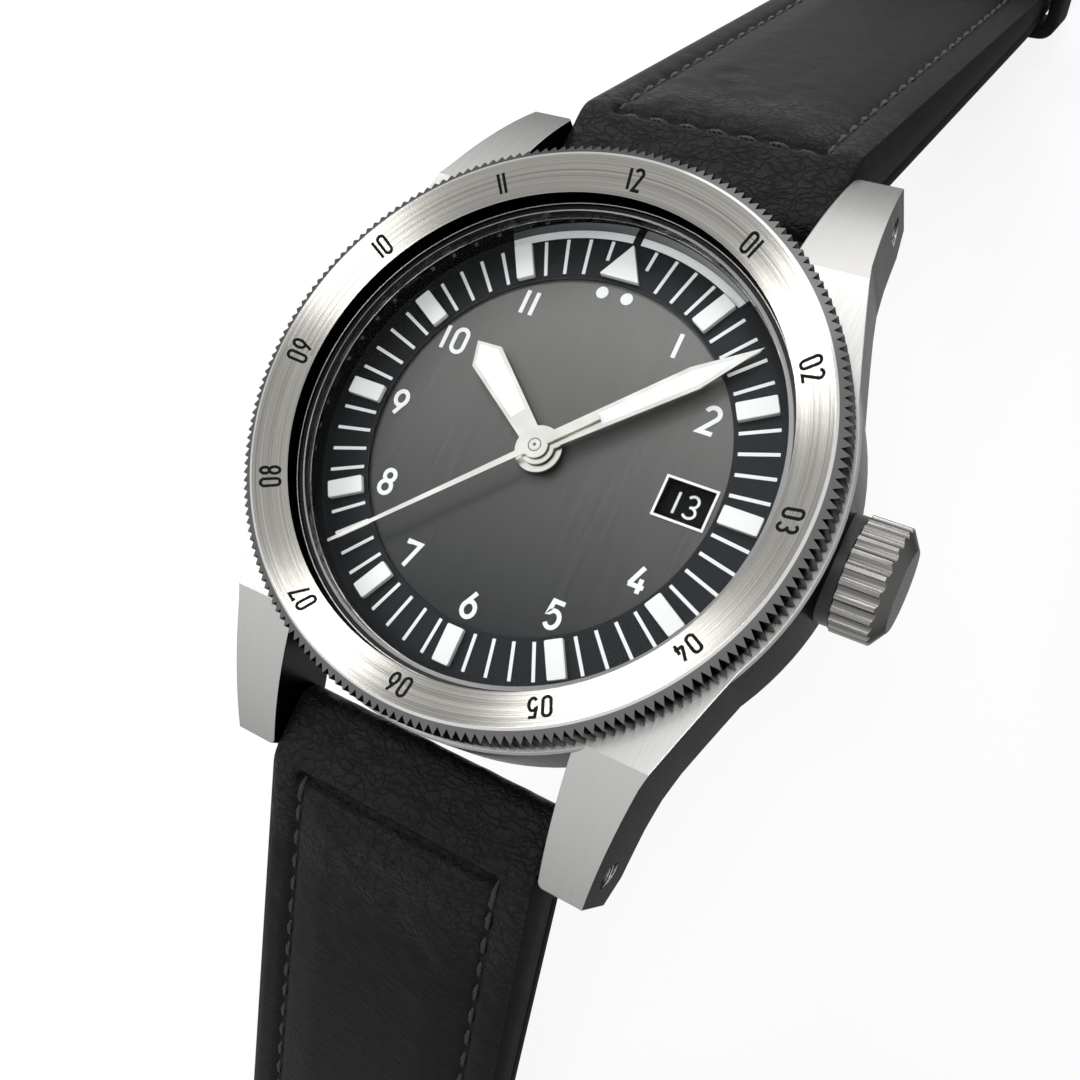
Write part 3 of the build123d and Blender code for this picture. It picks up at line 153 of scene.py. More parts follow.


# %% [markdown]
# ## Steel
# The case is stainless steel, brushed on its upward faces with a belt: fine parallel scratches that smear a highlight
# across the grain. Their colour is painted darker as they tilt away from upright, as painted shade, and the flanks
# are painted an even dark grey, a painted reflection. The node picks between them by the direction in which the face
# points, which is a fact of the shape and not of the camera.

# %% Steel for the case and the buckle


def case_steel():
    material, tree, shader, place = start_material("satin stainless steel")
    plug(tree, shader, {"Metallic": 1.0, "Specular Tint": "#a0a0a0"})
    up = facing(tree)
    # A face that leans more than about 65 degrees from upright is a flank
    top = add(tree, "ShaderNodeMapRange", {0: up.outputs[2], 1: 0.34, 2: 0.46})
    # A belt's scratches: 8 mm long, and 0.06 mm apart where real ones are 0.02, so that they show
    grain = straight_lines(tree, place, (0.06, 8.0, 8.0))
    # Painted shade: the top steel is painted darker as its face tilts away from upright
    level = add(tree, "ShaderNodeMapRange", {0: up.outputs[2], 1: 0.6, 2: 0.95})
    dark_top_painted_tilt_shade = add(tree, "ShaderNodeMix", {0: level, 6: "#7e7d7b", 7: "#b9b8b6"}, data_type="RGBA")
    light_top_painted_tilt_shade = add(tree, "ShaderNodeMix", {0: level, 6: "#868583", 7: "#c4c3c1"}, data_type="RGBA")
    bright = add(tree, "ShaderNodeMix", {0: grain, 6: dark_top_painted_tilt_shade, 7: light_top_painted_tilt_shade}, data_type="RGBA")
    # Painted reflection: the flanks are painted dark grey, standing in for the dark surroundings that real steel
    # flanks mirror
    flank_painted_dark = add(tree, "ShaderNodeMix", {0: grain, 6: "#373737", 7: "#3d3d3d"}, data_type="RGBA")
    colour = add(tree, "ShaderNodeMix", {0: top, 6: flank_painted_dark, 7: bright}, data_type="RGBA")
    rough = add(tree, "ShaderNodeMapRange", {0: grain, 1: 0.2, 2: 0.8, 3: 0.25, 4: 0.31})
    plug(tree, shader, {"Base Color": colour, "Roughness": rough})
    bump(tree, shader, grain, 0.001, 0.4, edge=0.1)
    return material


# %% [markdown]
# The bezel is turned on a lathe, so its face carries rings of fine lines. Its chamfer is polished. The cone below the
# chamfer and the teeth are left smooth; the cone is painted a darker grey, a painted reflection, and the sides of the
# V grooves between the teeth are painted near black, as painted shade.

# %% Bezel steel
bezel_face_radius, bezel_chamfer_radius = 18.55, 18.86
bezel_floor_radius, bezel_tooth_radius = 19.0, 19.5
cone_start = bezel_chamfer_radius - 0.12


def bezel_steel():
    material, tree, shader, place = start_material("circular brushed stainless steel")
    tangent = add(tree, "ShaderNodeTangent", direction_type="RADIAL", axis="Z")
    plug(tree, shader, {"Metallic": 1.0, "Anisotropic": 0.85, "Anisotropic Rotation": 0.25, "Tangent": tangent,
                        "Specular Tint": "#a0a0a0"})
    # Lathe lines 0.05 mm apart, coarser than the real ones so that they show, over broader bands of 0.22 mm
    lines, radius = polar_lines(tree, place, 0.05, 34.0)
    broad, _ = polar_lines(tree, place, 0.22, 60.0)
    mixed = add(tree, "ShaderNodeMath", {0: broad, 1: 0.3, 2: lines}, operation="MULTIPLY_ADD")
    tone = add(tree, "ShaderNodeMapRange", {0: mixed, 1: 0.45, 2: 0.85})
    face = add(tree, "ShaderNodeMix", {0: tone, 6: "#747370", 7: "#a3a19b"}, data_type="RGBA")
    outer = add(tree, "ShaderNodeMapRange", {0: radius, 1: bezel_face_radius, 2: bezel_face_radius + 0.04})
    chamfer = add(tree, "ShaderNodeMix", {0: outer, 6: face, 7: "#d2d1cf"}, data_type="RGBA")
    # Painted reflection: the polished cone below the chamfer is painted a darker grey
    cone = add(tree, "ShaderNodeMapRange", {0: radius, 1: cone_start, 2: cone_start + 0.04})
    colour = add(tree, "ShaderNodeMix", {0: cone, 6: chamfer, 7: "#6c6c6c"}, data_type="RGBA")
    # Painted shade: the sides of the V grooves between the teeth are painted near black
    groove = add(tree, "ShaderNodeMapRange", {0: radius, 1: bezel_floor_radius + 0.05, 2: bezel_tooth_radius - 0.03,
                                              3: 1.0, 4: 0.0})
    up = facing(tree)
    side = add(tree, "ShaderNodeMapRange", {0: up.outputs[2], 1: 0.6, 2: 0.4})
    depth = add(tree, "ShaderNodeMath", {0: groove, 1: side}, operation="MULTIPLY")
    colour = add(tree, "ShaderNodeMix", {0: depth, 6: colour, 7: "#0a0a0a"}, data_type="RGBA")
    rough = add(tree, "ShaderNodeMapRange", {0: outer, 1: 0.0, 2: 1.0, 3: 0.27, 4: 0.18})
    plug(tree, shader, {"Base Color": colour, "Roughness": rough})
    bump(tree, shader, lines, 0.003, 0.5)
    return material


# %% [markdown]
# Polished steel, spring steel and plated brass are the other metals. They share one recipe: a metal with a faint,
# uneven polish, so that a highlight never looks like plastic.

# %% Other metals


def metal(name, light, dark, roughness):
    """Clouds 0.4 mm across carry the uneven polish."""
    material, tree, shader, place = start_material(name)
    plug(tree, shader, {"Metallic": 1.0, "Roughness": roughness})
    cloud = clouded(tree, shader, place, dark, light, 2.5, 3.0)
    rough = add(tree, "ShaderNodeMapRange", {0: cloud, 1: 0.3, 2: 0.7, 3: roughness * 0.8, 4: roughness * 1.25})
    plug(tree, shader, {"Roughness": rough})
    bump(tree, shader, cloud, 0.001, 0.2)
    return material


crown_height = sum(corner.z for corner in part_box("crown")) / 2 / MM
crown_radius, flute_depth = 3.7, 0.42
cap_ring_radius, cap_dot_radius = 0.42, 0.13


def hand_steel():
    """Bright satin steel. The cap over the middle has a turned ring and a dot."""
    material, tree, shader, place = start_material("satin hand steel")
    plug(tree, shader, {"Metallic": 1.0, "Roughness": 0.22})
    cloud = add(tree, "ShaderNodeTexNoise", {"Vector": place, "Scale": 0.5})
    parts = add(tree, "ShaderNodeVectorMath", {0: place, 1: (1, 1, 0)}, operation="MULTIPLY")
    radius = add(tree, "ShaderNodeVectorMath", {0: parts}, operation="LENGTH")
    away = distance_to(tree, radius, cap_ring_radius)
    ring = add(tree, "ShaderNodeMapRange", {0: away, 1: 0.03, 2: 0.06, 3: 0.7, 4: 0.0})
    dot = add(tree, "ShaderNodeMapRange", {0: radius, 1: cap_dot_radius - 0.03, 2: cap_dot_radius, 3: 0.8, 4: 0.0})
    turned = add(tree, "ShaderNodeMath", {0: ring, 1: dot}, operation="MAXIMUM")
    steel = add(tree, "ShaderNodeMix", {0: cloud, 6: "#dad7d1", 7: "#efece7"}, data_type="RGBA")
    colour = add(tree, "ShaderNodeMix", {0: turned, 6: steel, 7: "#3c3b3a"}, data_type="RGBA")
    rough = add(tree, "ShaderNodeMapRange", {0: cloud, 1: 0.3, 2: 0.7, 3: 0.18, 4: 0.26})
    plug(tree, shader, {"Base Color": colour, "Roughness": rough})
    return material


def crown_steel():
    """Milled steel, with fine lines along the flutes. The flutes' floors are painted darker, as painted shade, and
    the flat end is darker.
    """
    material, tree, shader, place = start_material("fine milled stainless steel")
    plug(tree, shader, {"Metallic": 1.0, "Specular Tint": "#a0a0a0"})
    grain = straight_lines(tree, place, (3.0, 0.16, 0.16))
    moved = add(tree, "ShaderNodeVectorMath", {0: place, 1: (0, 0, crown_height)}, operation="SUBTRACT")
    across = add(tree, "ShaderNodeVectorMath", {0: moved, 1: (0, 1, 1)}, operation="MULTIPLY")
    radius = add(tree, "ShaderNodeVectorMath", {0: across}, operation="LENGTH")
    ridge = add(tree, "ShaderNodeMapRange", {0: radius, 1: crown_radius - flute_depth, 2: crown_radius - 0.06})
    ridge_steel = add(tree, "ShaderNodeMix", {0: grain, 6: "#5f5e5c", 7: "#a9a7a4"}, data_type="RGBA")
    # Painted shade: the floors of the flutes are painted near black
    flute_floor_painted_shade = add(tree, "ShaderNodeMix", {0: grain, 6: "#1a1a1a", 7: "#343333"}, data_type="RGBA")
    out = facing(tree)
    end = add(tree, "ShaderNodeMapRange", {0: out.outputs[0], 1: 0.15, 2: 0.35})
    flat = add(tree, "ShaderNodeMapRange", {0: out.outputs[0], 1: 0.85, 2: 0.95})
    flutes = add(tree, "ShaderNodeMix", {0: ridge, 6: flute_floor_painted_shade, 7: ridge_steel}, data_type="RGBA")
    rim = add(tree, "ShaderNodeMix", {0: end, 6: flutes, 7: "#585756"}, data_type="RGBA")
    colour = add(tree, "ShaderNodeMix", {0: flat, 6: rim, 7: "#3a3a3a"}, data_type="RGBA")
    rough = add(tree, "ShaderNodeMapRange", {0: grain, 1: 0.2, 2: 0.8, 3: 0.2, 4: 0.34})
    plug(tree, shader, {"Base Color": colour, "Roughness": rough})
    bump(tree, shader, grain, 0.0005, 0.3, edge=0.06)
    return material


# %% [markdown]
# ## Dial
# A brass disc, brushed, then lacquered dark. The middle is brushed straight up and down and is a warm grey, painted
# lighter towards 12 and darker towards 6 o'clock as a painted reflection. The outer ring is nearly black with a cool
# cast and is brushed in circles.

# %% Dial lacquer
dial_middle_radius = 12.3


def dial_lacquer():
    material, tree, shader, place = start_material("brushed and lacquered dial brass")
    plug(tree, shader, {"Metallic": 1.0, "Roughness": 0.42})
    # A wire brush leaves lines 0.06 to 0.09 mm apart under the lacquer
    rings, radius = polar_lines(tree, place, 0.06, 12.0)
    upright = straight_lines(tree, place, (0.09, 5.0, 5.0))
    parts = add(tree, "ShaderNodeSeparateXYZ", {0: place})
    # Painted reflection: the middle's colour falls from light at 12 to dark at 6 o'clock
    fall = add(tree, "ShaderNodeMapRange", {0: parts.outputs[1], 1: -12.0, 2: 9.0})
    middle_dark_painted_reflection = add(tree, "ShaderNodeMix", {0: fall, 6: "#272728", 7: "#5c5b59"}, data_type="RGBA")
    middle_light_painted_reflection = add(tree, "ShaderNodeMix", {0: fall, 6: "#3a3a3b", 7: "#6c6b69"}, data_type="RGBA")
    middle = add(tree, "ShaderNodeMix", {0: upright, 6: middle_dark_painted_reflection, 7: middle_light_painted_reflection}, data_type="RGBA")
    outer = add(tree, "ShaderNodeMix", {0: rings, 6: "#202123", 7: "#2d2e30"}, data_type="RGBA")
    edge = add(tree, "ShaderNodeMapRange", {0: radius, 1: dial_middle_radius - 0.03, 2: dial_middle_radius + 0.03})
    colour = add(tree, "ShaderNodeMix", {0: edge, 6: middle, 7: outer}, data_type="RGBA")
    plug(tree, shader, {"Base Color": colour})
    bump(tree, shader, add(tree, "ShaderNodeMix", {0: edge, 6: upright, 7: rings}, data_type="RGBA"), 0.002, 0.6)
    return material


def print_paint(name, code, shine=0.5):
    """Pad-printed or filled paint: matt, with a trace of texture."""
    material, tree, shader, place = start_material(name)
    plug(tree, shader, {"Roughness": 0.55, "Specular IOR Level": shine})
    low = tuple(c * 0.94 for c in linear(code)[:3]) + (1.0,)
    bump(tree, shader, clouded(tree, shader, place, low, code, 4.0), 0.004, 0.4)
    return material


# %% [markdown]
# ## Sapphire
# The crystal is flat, clear and coated against reflections, so most light goes straight through. A transparent
# shader under a thin gloss shows the dial at its true place, where refraction would need many more light paths. The
# bevel round its rim is polished, and is drawn as a matt white ring: a painted highlight.

# %% Sapphire crystal


def sapphire():
    material, tree, shader, _ = start_material("coated sapphire crystal")
    tree.nodes.remove(shader)
    clear = add(tree, "ShaderNodeBsdfTransparent", {"Color": "#fdfefe"})
    gloss = add(tree, "ShaderNodeBsdfAnisotropic", {"Color": "#ffffff", "Roughness": 0.03})
    # Painted highlight: the bevel is mostly a matt white surface, for the light that a polished bevel catches
    rim = add(tree, "ShaderNodeBsdfDiffuse", {"Color": "#f4f5f6"})
    # The coating leaves a trace of reflection that grows at a glancing angle, alike on the way in and out. A
    # Fresnel node would turn the underside into a full mirror there, and hide the dial.
    glance = add(tree, "ShaderNodeLayerWeight", {"Blend": 0.5})
    steep = add(tree, "ShaderNodeMath", {0: glance.outputs["Facing"], 1: 5.0}, operation="POWER")
    share = add(tree, "ShaderNodeMath", {0: steep, 1: 0.6, 2: 0.002}, operation="MULTIPLY_ADD")
    up = facing(tree)
    level = add(tree, "ShaderNodeMath", {0: up.outputs[2]}, operation="ABSOLUTE")
    bevel = add(tree, "ShaderNodeMapRange", {0: level, 1: 0.9, 2: 0.8})
    top = add(tree, "ShaderNodeMixShader", {0: share, 1: clear, 2: gloss})
    bevel_painted_highlight = add(tree, "ShaderNodeMath", {0: bevel, 1: 0.9}, operation="MULTIPLY")
    whole = add(tree, "ShaderNodeMixShader", {0: bevel_painted_highlight, 1: top, 2: rim})
    plug(tree, tree.nodes["Material Output"], {"Surface": whole})
    return material


# %% [markdown]
# ## Leather
# The strap is black calf with a fine grain. The grain is a net of small cells, finer along the run, with longer
# creases here and there. Near the watch, where the leather is pulled round the spring bar, the creases are deeper.

# %% Strap leather


side_seam_x = 7.9                            # mm from the strap's middle to its stitches
cross_seam_y = {"12": 26.9, "6": 26.4}       # mm from the case's middle to the seam across each half
side_seam_start = 26.2


def pinched_seams(tree, parts, along):
    """1 in the stitch lines of both halves, where the thread pinches the leather. There the leather is painted near
    black: painted shade in the seam's groove.
    """
    aside = add(tree, "ShaderNodeMath", {0: parts.outputs[0]}, operation="ABSOLUTE")
    masks = []
    for y in (cross_seam_y["12"], -cross_seam_y["6"]):
        away = distance_to(tree, parts.outputs[1], y)
        across = add(tree, "ShaderNodeMapRange", {0: away, 1: 0.1, 2: 0.42, 3: 1.0, 4: 0.0})
        inside = add(tree, "ShaderNodeMapRange", {0: aside, 1: side_seam_x, 2: side_seam_x + 0.3, 3: 1.0, 4: 0.0})
        masks.append(add(tree, "ShaderNodeMath", {0: across, 1: inside}, operation="MULTIPLY"))
    away = distance_to(tree, aside, side_seam_x)
    down = add(tree, "ShaderNodeMapRange", {0: away, 1: 0.1, 2: 0.5, 3: 0.8, 4: 0.0})
    begin = add(tree, "ShaderNodeMapRange", {0: along, 1: side_seam_start, 2: side_seam_start + 0.4})
    masks.append(add(tree, "ShaderNodeMath", {0: down, 1: begin}, operation="MULTIPLY"))
    both = add(tree, "ShaderNodeMath", {0: masks[0], 1: masks[1]}, operation="MAXIMUM")
    whole = add(tree, "ShaderNodeMath", {0: both, 1: masks[2]}, operation="MAXIMUM")
    return whole


def leather(name, light, dark, roughness=0.5, crease=1.0, sewn=False):
    material, tree, shader, place = start_material(name)
    plug(tree, shader, {"IOR": 1.3, "Specular IOR Level": 0.2})
    wobble = add(tree, "ShaderNodeTexNoise", {"Vector": place, "Scale": 0.55, "Detail": 3.0})
    shift = add(tree, "ShaderNodeVectorMath", {0: wobble.outputs["Color"], 3: 2.2}, operation="SCALE")
    moved = add(tree, "ShaderNodeVectorMath", {0: place, 1: shift}, operation="ADD")
    # Creases enclose cells about 1.2 mm across the strap and 0.6 mm along it, with smaller ones inside
    squeeze = add(tree, "ShaderNodeVectorMath", {0: moved, 1: (0.85, 1.8, 1.8)}, operation="MULTIPLY")
    cells = add(tree, "ShaderNodeTexVoronoi", {"Vector": squeeze, "Scale": 1.0}, feature="DISTANCE_TO_EDGE")
    fine = add(tree, "ShaderNodeTexVoronoi", {"Vector": squeeze, "Scale": 2.4}, feature="DISTANCE_TO_EDGE")
    big = add(tree, "ShaderNodeMapRange", {0: cells, 1: 0.0, 2: 0.2}, interpolation_type="SMOOTHSTEP")
    small = add(tree, "ShaderNodeMapRange", {0: fine, 1: 0.0, 2: 0.24}, interpolation_type="SMOOTHSTEP")
    # The creases are strong where the leather bends round the bar, and fade within a few mm of the seam
    parts = add(tree, "ShaderNodeSeparateXYZ", {0: place})
    along = add(tree, "ShaderNodeMath", {0: parts.outputs[1]}, operation="ABSOLUTE")
    drift = add(tree, "ShaderNodeTexNoise", {"Vector": place, "Scale": 0.3, "Detail": 2.0})
    edge = add(tree, "ShaderNodeMath", {0: drift, 1: 14.0, 2: along}, operation="MULTIPLY_ADD")
    near = add(tree, "ShaderNodeMapRange", {0: edge, 1: 35.0, 2: 41.0, 3: crease, 4: 0.1 * crease})
    # Fine wrinkles run aslant over the rest, 0.3 mm apart
    aslant = add(tree, "ShaderNodeVectorRotate", {"Vector": place, "Angle": math.radians(9)}, rotation_type="Z_AXIS")
    wrinkles = straight_lines(tree, aslant, (1.1, 0.3, 0.3), 3.0)
    pores = add(tree, "ShaderNodeTexNoise", {"Vector": place, "Scale": 7.0, "Detail": 2.0})
    deep = add(tree, "ShaderNodeMath", {0: small, 1: 0.35, 2: big}, operation="MULTIPLY_ADD")
    shown = add(tree, "ShaderNodeMath", {0: deep, 1: near}, operation="MULTIPLY")
    soft = add(tree, "ShaderNodeMath", {0: wrinkles, 1: 0.9, 2: shown}, operation="MULTIPLY_ADD")
    height = add(tree, "ShaderNodeMath", {0: pores, 1: 0.22, 2: soft}, operation="MULTIPLY_ADD")
    # Painted shade: the colour follows the relief, so creases and pores are painted darker
    tone = add(tree, "ShaderNodeMapRange", {0: height, 1: 0.3, 2: 1.7})
    # The cut edge of the strap is sanded and painted: smooth, matt and even
    out = facing(tree)
    sideways = add(tree, "ShaderNodeMath", {0: out.outputs[0]}, operation="ABSOLUTE")
    cut = add(tree, "ShaderNodeMapRange", {0: sideways, 1: 0.7, 2: 0.85})
    face = add(tree, "ShaderNodeMix", {0: tone, 6: dark, 7: light}, data_type="RGBA")
    # Painted shade: the stitch lines are painted near black
    if sewn:
        seam_shade = pinched_seams(tree, parts, along)
        face = add(tree, "ShaderNodeMix", {0: seam_shade, 6: face, 7: "#030303"}, data_type="RGBA")
    colour = add(tree, "ShaderNodeMix", {0: cut, 6: face, 7: "#0b0b0b"}, data_type="RGBA")
    worn = add(tree, "ShaderNodeMapRange", {0: tone, 1: 0.0, 2: 1.0, 3: roughness * 1.2, 4: roughness * 0.9})
    matt = add(tree, "ShaderNodeMath", {0: cut, 1: 0.4, 2: worn}, operation="MULTIPLY_ADD", use_clamp=True)
    plug(tree, shader, {"Base Color": colour, "Roughness": matt})
    shallow = add(tree, "ShaderNodeMapRange", {0: cut, 1: 0.0, 2: 1.0, 3: 1.0, 4: 0.12})
    flat = add(tree, "ShaderNodeMath", {0: height, 1: shallow}, operation="MULTIPLY")
    bump(tree, shader, flat, 0.042, 1.0)
    return material


def thread():
    """Waxed polyester thread: a twist of two strands, seen as slanted lines."""
    material, tree, shader, place = start_material("waxed black thread")
    plug(tree, shader, {"Roughness": 0.42, "Specular IOR Level": 0.35})
    twist = add(tree, "ShaderNodeTexWave", {"Vector": place, "Scale": 1.6, "Distortion": 1.0},
                bands_direction="DIAGONAL")
    colour = add(tree, "ShaderNodeMix", {0: twist.outputs["Fac"], 6: "#060606", 7: "#242424"}, data_type="RGBA")
    plug(tree, shader, {"Base Color": colour})
    bump(tree, shader, twist.outputs["Fac"], 0.05)
    return material


def rubber():
    material, tree, shader, place = start_material("moulded black rubber")
    plug(tree, shader, {"Roughness": 0.45})
    bump(tree, shader, clouded(tree, shader, place, "#050505", "#101010", 3.0, 3.0), 0.01, 0.4)
    return material


def ruby():
    material, tree, shader, place = start_material("synthetic ruby")
    plug(tree, shader, {"Roughness": 0.06, "IOR": 1.77})
    clouded(tree, shader, place, "#7a0820", "#b01538", 2.0)
    return material


# %% [markdown]
# Each node of the frame gets its finish by name. What isn't named takes plated brass, the usual finish of movement
# parts.

# %% Give every CAD piece its finish
steel_case = case_steel()
steel_bezel = bezel_steel()
steel_polished = metal("polished stainless steel", "#e6e4e1", "#c9c7c4", 0.1)
steel_flange = metal("polished flange steel", "#55575a", "#4b4d50", 0.04)
steel_crown = crown_steel()
steel_spring = metal("tempered spring steel", "#8f95a3", "#6d7380", 0.25)
steel_hand = hand_steel()
brass_plated = metal("rhodium plated brass", "#c9c5bd", "#a8a39a", 0.3)
brass_gilt = metal("gilt brass", "#d9b262", "#b98d3d", 0.25)
white_lume = print_paint("luminous white fill", "#fcfcfa")
white_ink = print_paint("white printing ink", "#fafafa")
black_ink = print_paint("black engraving paint", "#060606", 0.08)
black_date = print_paint("black date disc", "#050505", 0.08)
black_rubber = rubber()
strap_leather = leather("black calf leather", "#1c1c1c", "#060606", 0.46, sewn=True)
keeper_leather = leather("black calf leather, unsewn", "#1c1c1c", "#060606", 0.46)
lining_leather = leather("black lining leather", "#1b1918", "#0e0d0c", 0.7, 0.5)
black_thread = thread()

finishes = {
    steel_case: ["mid_case", "case_back", "buckle_frame"],
    steel_bezel: ["rotating_bezel"],
    steel_polished: ["crown_tube", "cannon_pinion", "spring_bar_tubes", "spring_bar_tip_12_crown_side",
                     "spring_bar_tip_12_far_side", "spring_bar_tip_6_crown_side",
                     "spring_bar_tip_6_far_side", "buckle_pin", "buckle_prong", "rotor_bearing"],
    steel_flange: ["flange_ring"],
    steel_crown: ["crown"],
    steel_spring: ["bezel_retaining_wire", "bezel_spring", "bridge_screws", "setting_lever", "winding_stem",
                   "escape_wheel", "mainspring", "pallet_fork", "hairspring"],
    steel_hand: ["hour_hand", "minute_hand", "seconds_hand"],
    brass_gilt: ["hour_wheel", "minute_wheel", "fourth_wheel", "third_wheel", "centre_wheel",
                 "intermediate_wheel", "barrel", "balance_wheel"],
    white_lume: ["hour_markers", "hour_hand_lume", "minute_hand_lume"],
    white_ink: ["date_window_frame"],
    black_date: ["date_ring"],
    black_rubber: ["case_back_gasket", "crystal_gasket", "crown_gasket", "crown_collar"],
    dial_lacquer(): ["dial"],
    sapphire(): ["crystal"],
    ruby(): ["jewels"],
}


def dress(node, material):
    """One material over a whole CAD piece."""
    slots = nodes[node].data.materials
    slots.clear()
    slots.append(material)


for node in nodes:
    dress(node, brass_plated)
for material, names in finishes.items():
    for node in names:
        dress(node, material)
print("finishes:", len(finishes) + 1)

# %% [markdown]
# ## New pieces
# A finished mesh sits at the world origin, so its place is in its vertices. This helper closes a bmesh, makes an
# object of it, gives it a material, and hangs it on the body that it moves with. Digits, strap and
# keepers all start flat and are extruded by the same function.

# %% Finish a piece


def mesh_data(mesh, name):
    """Turns a bmesh into mesh data, and frees it."""
    data = bpy.data.meshes.new(name)
    mesh.to_mesh(data)
    mesh.free()
    return data


def into_scene(name, data):
    thing = bpy.data.objects.new(name, data)
    bpy.context.scene.collection.objects.link(thing)
    return thing


def finish_piece(mesh, name, material, slot, body, smooth=True):
    bmesh.ops.recalc_face_normals(mesh, faces=mesh.faces)
    for face in mesh.faces:
        face.smooth = smooth
    piece = into_scene(name, mesh_data(mesh, name))
    piece.data.materials.append(material)
    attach(piece, body)
    print(name, len(piece.data.polygons), "faces")
    return piece


def thicken(mesh, faces):
    """Extrudes faces into a closed body that is still flat, and gives its new vertices, which are to be moved."""
    made = bmesh.ops.extrude_face_region(mesh, geom=faces, use_keep_orig=True)["geom"]
    return {v for v in made if isinstance(v, bmesh.types.BMVert)}


# %% [markdown]
# ### Numerals
# The numerals are plain digits in the even-stroke style of instrument lettering. Each is a few strokes along lines
# and arcs, in a box one unit high. A stroke starts as a chain of edges, which an extrude turns into a ribbon of the
# right width. Drawing them this way keeps every digit generic and sharp at any size.

# %% Strokes for ten digits
stroke_step = 0.002 * MM     # crossing strokes lie on levels of their own, so their tops never share a plane


def arc(x, y, across, up, start, end, steps=14):
    """Points on part of an ellipse. Angles in degrees, counterclockwise from the right."""
    turns = [math.radians(start + (end - start) * i / steps) for i in range(steps + 1)]
    return [(x + across * math.cos(t), y + up * math.sin(t)) for t in turns]


def digit_strokes(digit, width):
    """The centre lines of a digit, as lists of points. The second value says whether the line is closed."""
    half = width / 2
    bowl = 0.30
    top_bowl = 0.255
    if digit == "0":
        return [(arc(half, 1 - half, half, half, 0, 180) + arc(half, half, half, half, 180, 360), True)]
    if digit == "1":
        return [([(0.0, 1.0), (0.0, 0.0)], False)]
    if digit == "2":
        return [(arc(half, 1 - half, half, half, 165, -32) + [(0.0, 0.0), (width, 0.0)], False)]
    if digit == "3":
        return [(arc(half, 1 - top_bowl, half * 0.9, top_bowl, 150, -90) + [(half * 0.75, 1 - 2 * top_bowl)],
                 False),
                (arc(half, bowl - 0.055, half, bowl - 0.055, 90, -150), False)]
    if digit == "4":
        return [([(width * 0.62, 1.0), (0.0, 0.26)], False), ([(-0.04, 0.26), (width * 1.08, 0.26)], False),
                ([(width * 0.76, 0.56), (width * 0.76, 0.0)], False)]
    if digit == "5":
        return [([(width * 0.95, 1.0), (0.07, 1.0), (0.02, 0.53)]
                 + arc(half, 0.33, half, 0.33, 140, -145), False)]
    if digit == "6":
        return [(arc(half, 0.31, half, 0.31, 0, 360)[:-1], True),
                ([(half * 0.1, 0.42), (half * 1.3, 1.0)], False)]
    if digit == "7":
        return [([(0.0, 0.88), (0.0, 1.0), (width, 1.0), (half * 0.6, 0.0)], False)]
    if digit == "8":
        return [(arc(half, bowl - 0.03, half, bowl - 0.03, 0, 360)[:-1], True),
                (arc(half, 1 - top_bowl + 0.02, half * 0.88, top_bowl - 0.02, 0, 360)[:-1], True)]
    return [(arc(half, 0.69, half, 0.31, 0, 360)[:-1], True),
            ([(half * 1.9, 0.58), (half * 0.7, 0.0)], False)]


def ribbon(mesh, points, closed, width):
    """A flat ribbon along a line of points, in the XY plane."""
    chain = [mesh.verts.new((x, y, 0)) for x, y in points]
    pairs = list(zip(chain, chain[1:])) + ([(chain[-1], chain[0])] if closed else [])
    edges = [mesh.edges.new(pair) for pair in pairs]
    sides = []
    count = len(points)
    for i in range(count):
        before = Vector(points[i - 1]) if i or closed else None
        after = Vector(points[(i + 1) % count]) if i < count - 1 or closed else None
        here = Vector(points[i])
        into = (here - before).normalized() if before is not None else None
        out = (after - here).normalized() if after is not None else None
        along = ((into or out) + (out or into)).normalized()
        normal = Vector((-along.y, along.x))
        first = into or out
        miter = max(0.35, normal.dot(Vector((-first.y, first.x))))
        sides.append(normal * (width / 2 / miter))
    made = bmesh.ops.extrude_edge_only(mesh, edges=edges)["geom"]
    fresh = [v for v in made if isinstance(v, bmesh.types.BMVert)]
    partner = {}
    for vert in fresh:
        near = min(range(count), key=lambda i: (chain[i].co - vert.co).length)
        partner[near] = vert
    for i, side in enumerate(sides):
        offset = Vector((side.x, side.y, 0))
        partner[i].co += offset
        chain[i].co -= offset


def text_mesh(text, height, stroke, gap, width):
    """A row of digits centred on the origin, reading along +X. Every stroke lies on a level of its own."""
    mesh = bmesh.new()
    unit = height - stroke
    spans = [(0.0 if c == "1" else width) * unit for c in text]
    left = -(sum(spans) + (gap + stroke) * (len(text) - 1)) / 2
    for character, span in zip(text, spans):
        for level, (points, closed) in enumerate(digit_strokes(character, width)):
            before = len(mesh.verts)
            ribbon(mesh, [(left + x * unit, (y - 0.5) * unit) for x, y in points], closed, stroke)
            mesh.verts.ensure_lookup_table()
            for vert in mesh.verts[before:]:
                vert.co.z = level * stroke_step
        left += span + gap + stroke
    return mesh


def add_text(target, text, height, stroke, gap, width, place, thickness):
    """Adds a row of digits to target. place maps a flat point and a height to its spot on the watch."""
    flat = text_mesh(text, height, stroke, gap, width)
    faces = flat.faces[:]
    bmesh.ops.recalc_face_normals(flat, faces=faces)
    top = thicken(flat, faces)
    for vert in flat.verts:
        vert.co = place(vert.co.x, vert.co.y, thickness + vert.co.z if vert in top else 0.0)
    data = mesh_data(flat, "digits")
    target.from_mesh(data)
    bpy.data.meshes.remove(data)


# %% [markdown]
# On the bezel the numerals are engraved and filled with black paint. They follow the dished face: their tops point
# outwards, so a point above the numeral's middle lies further out and higher.

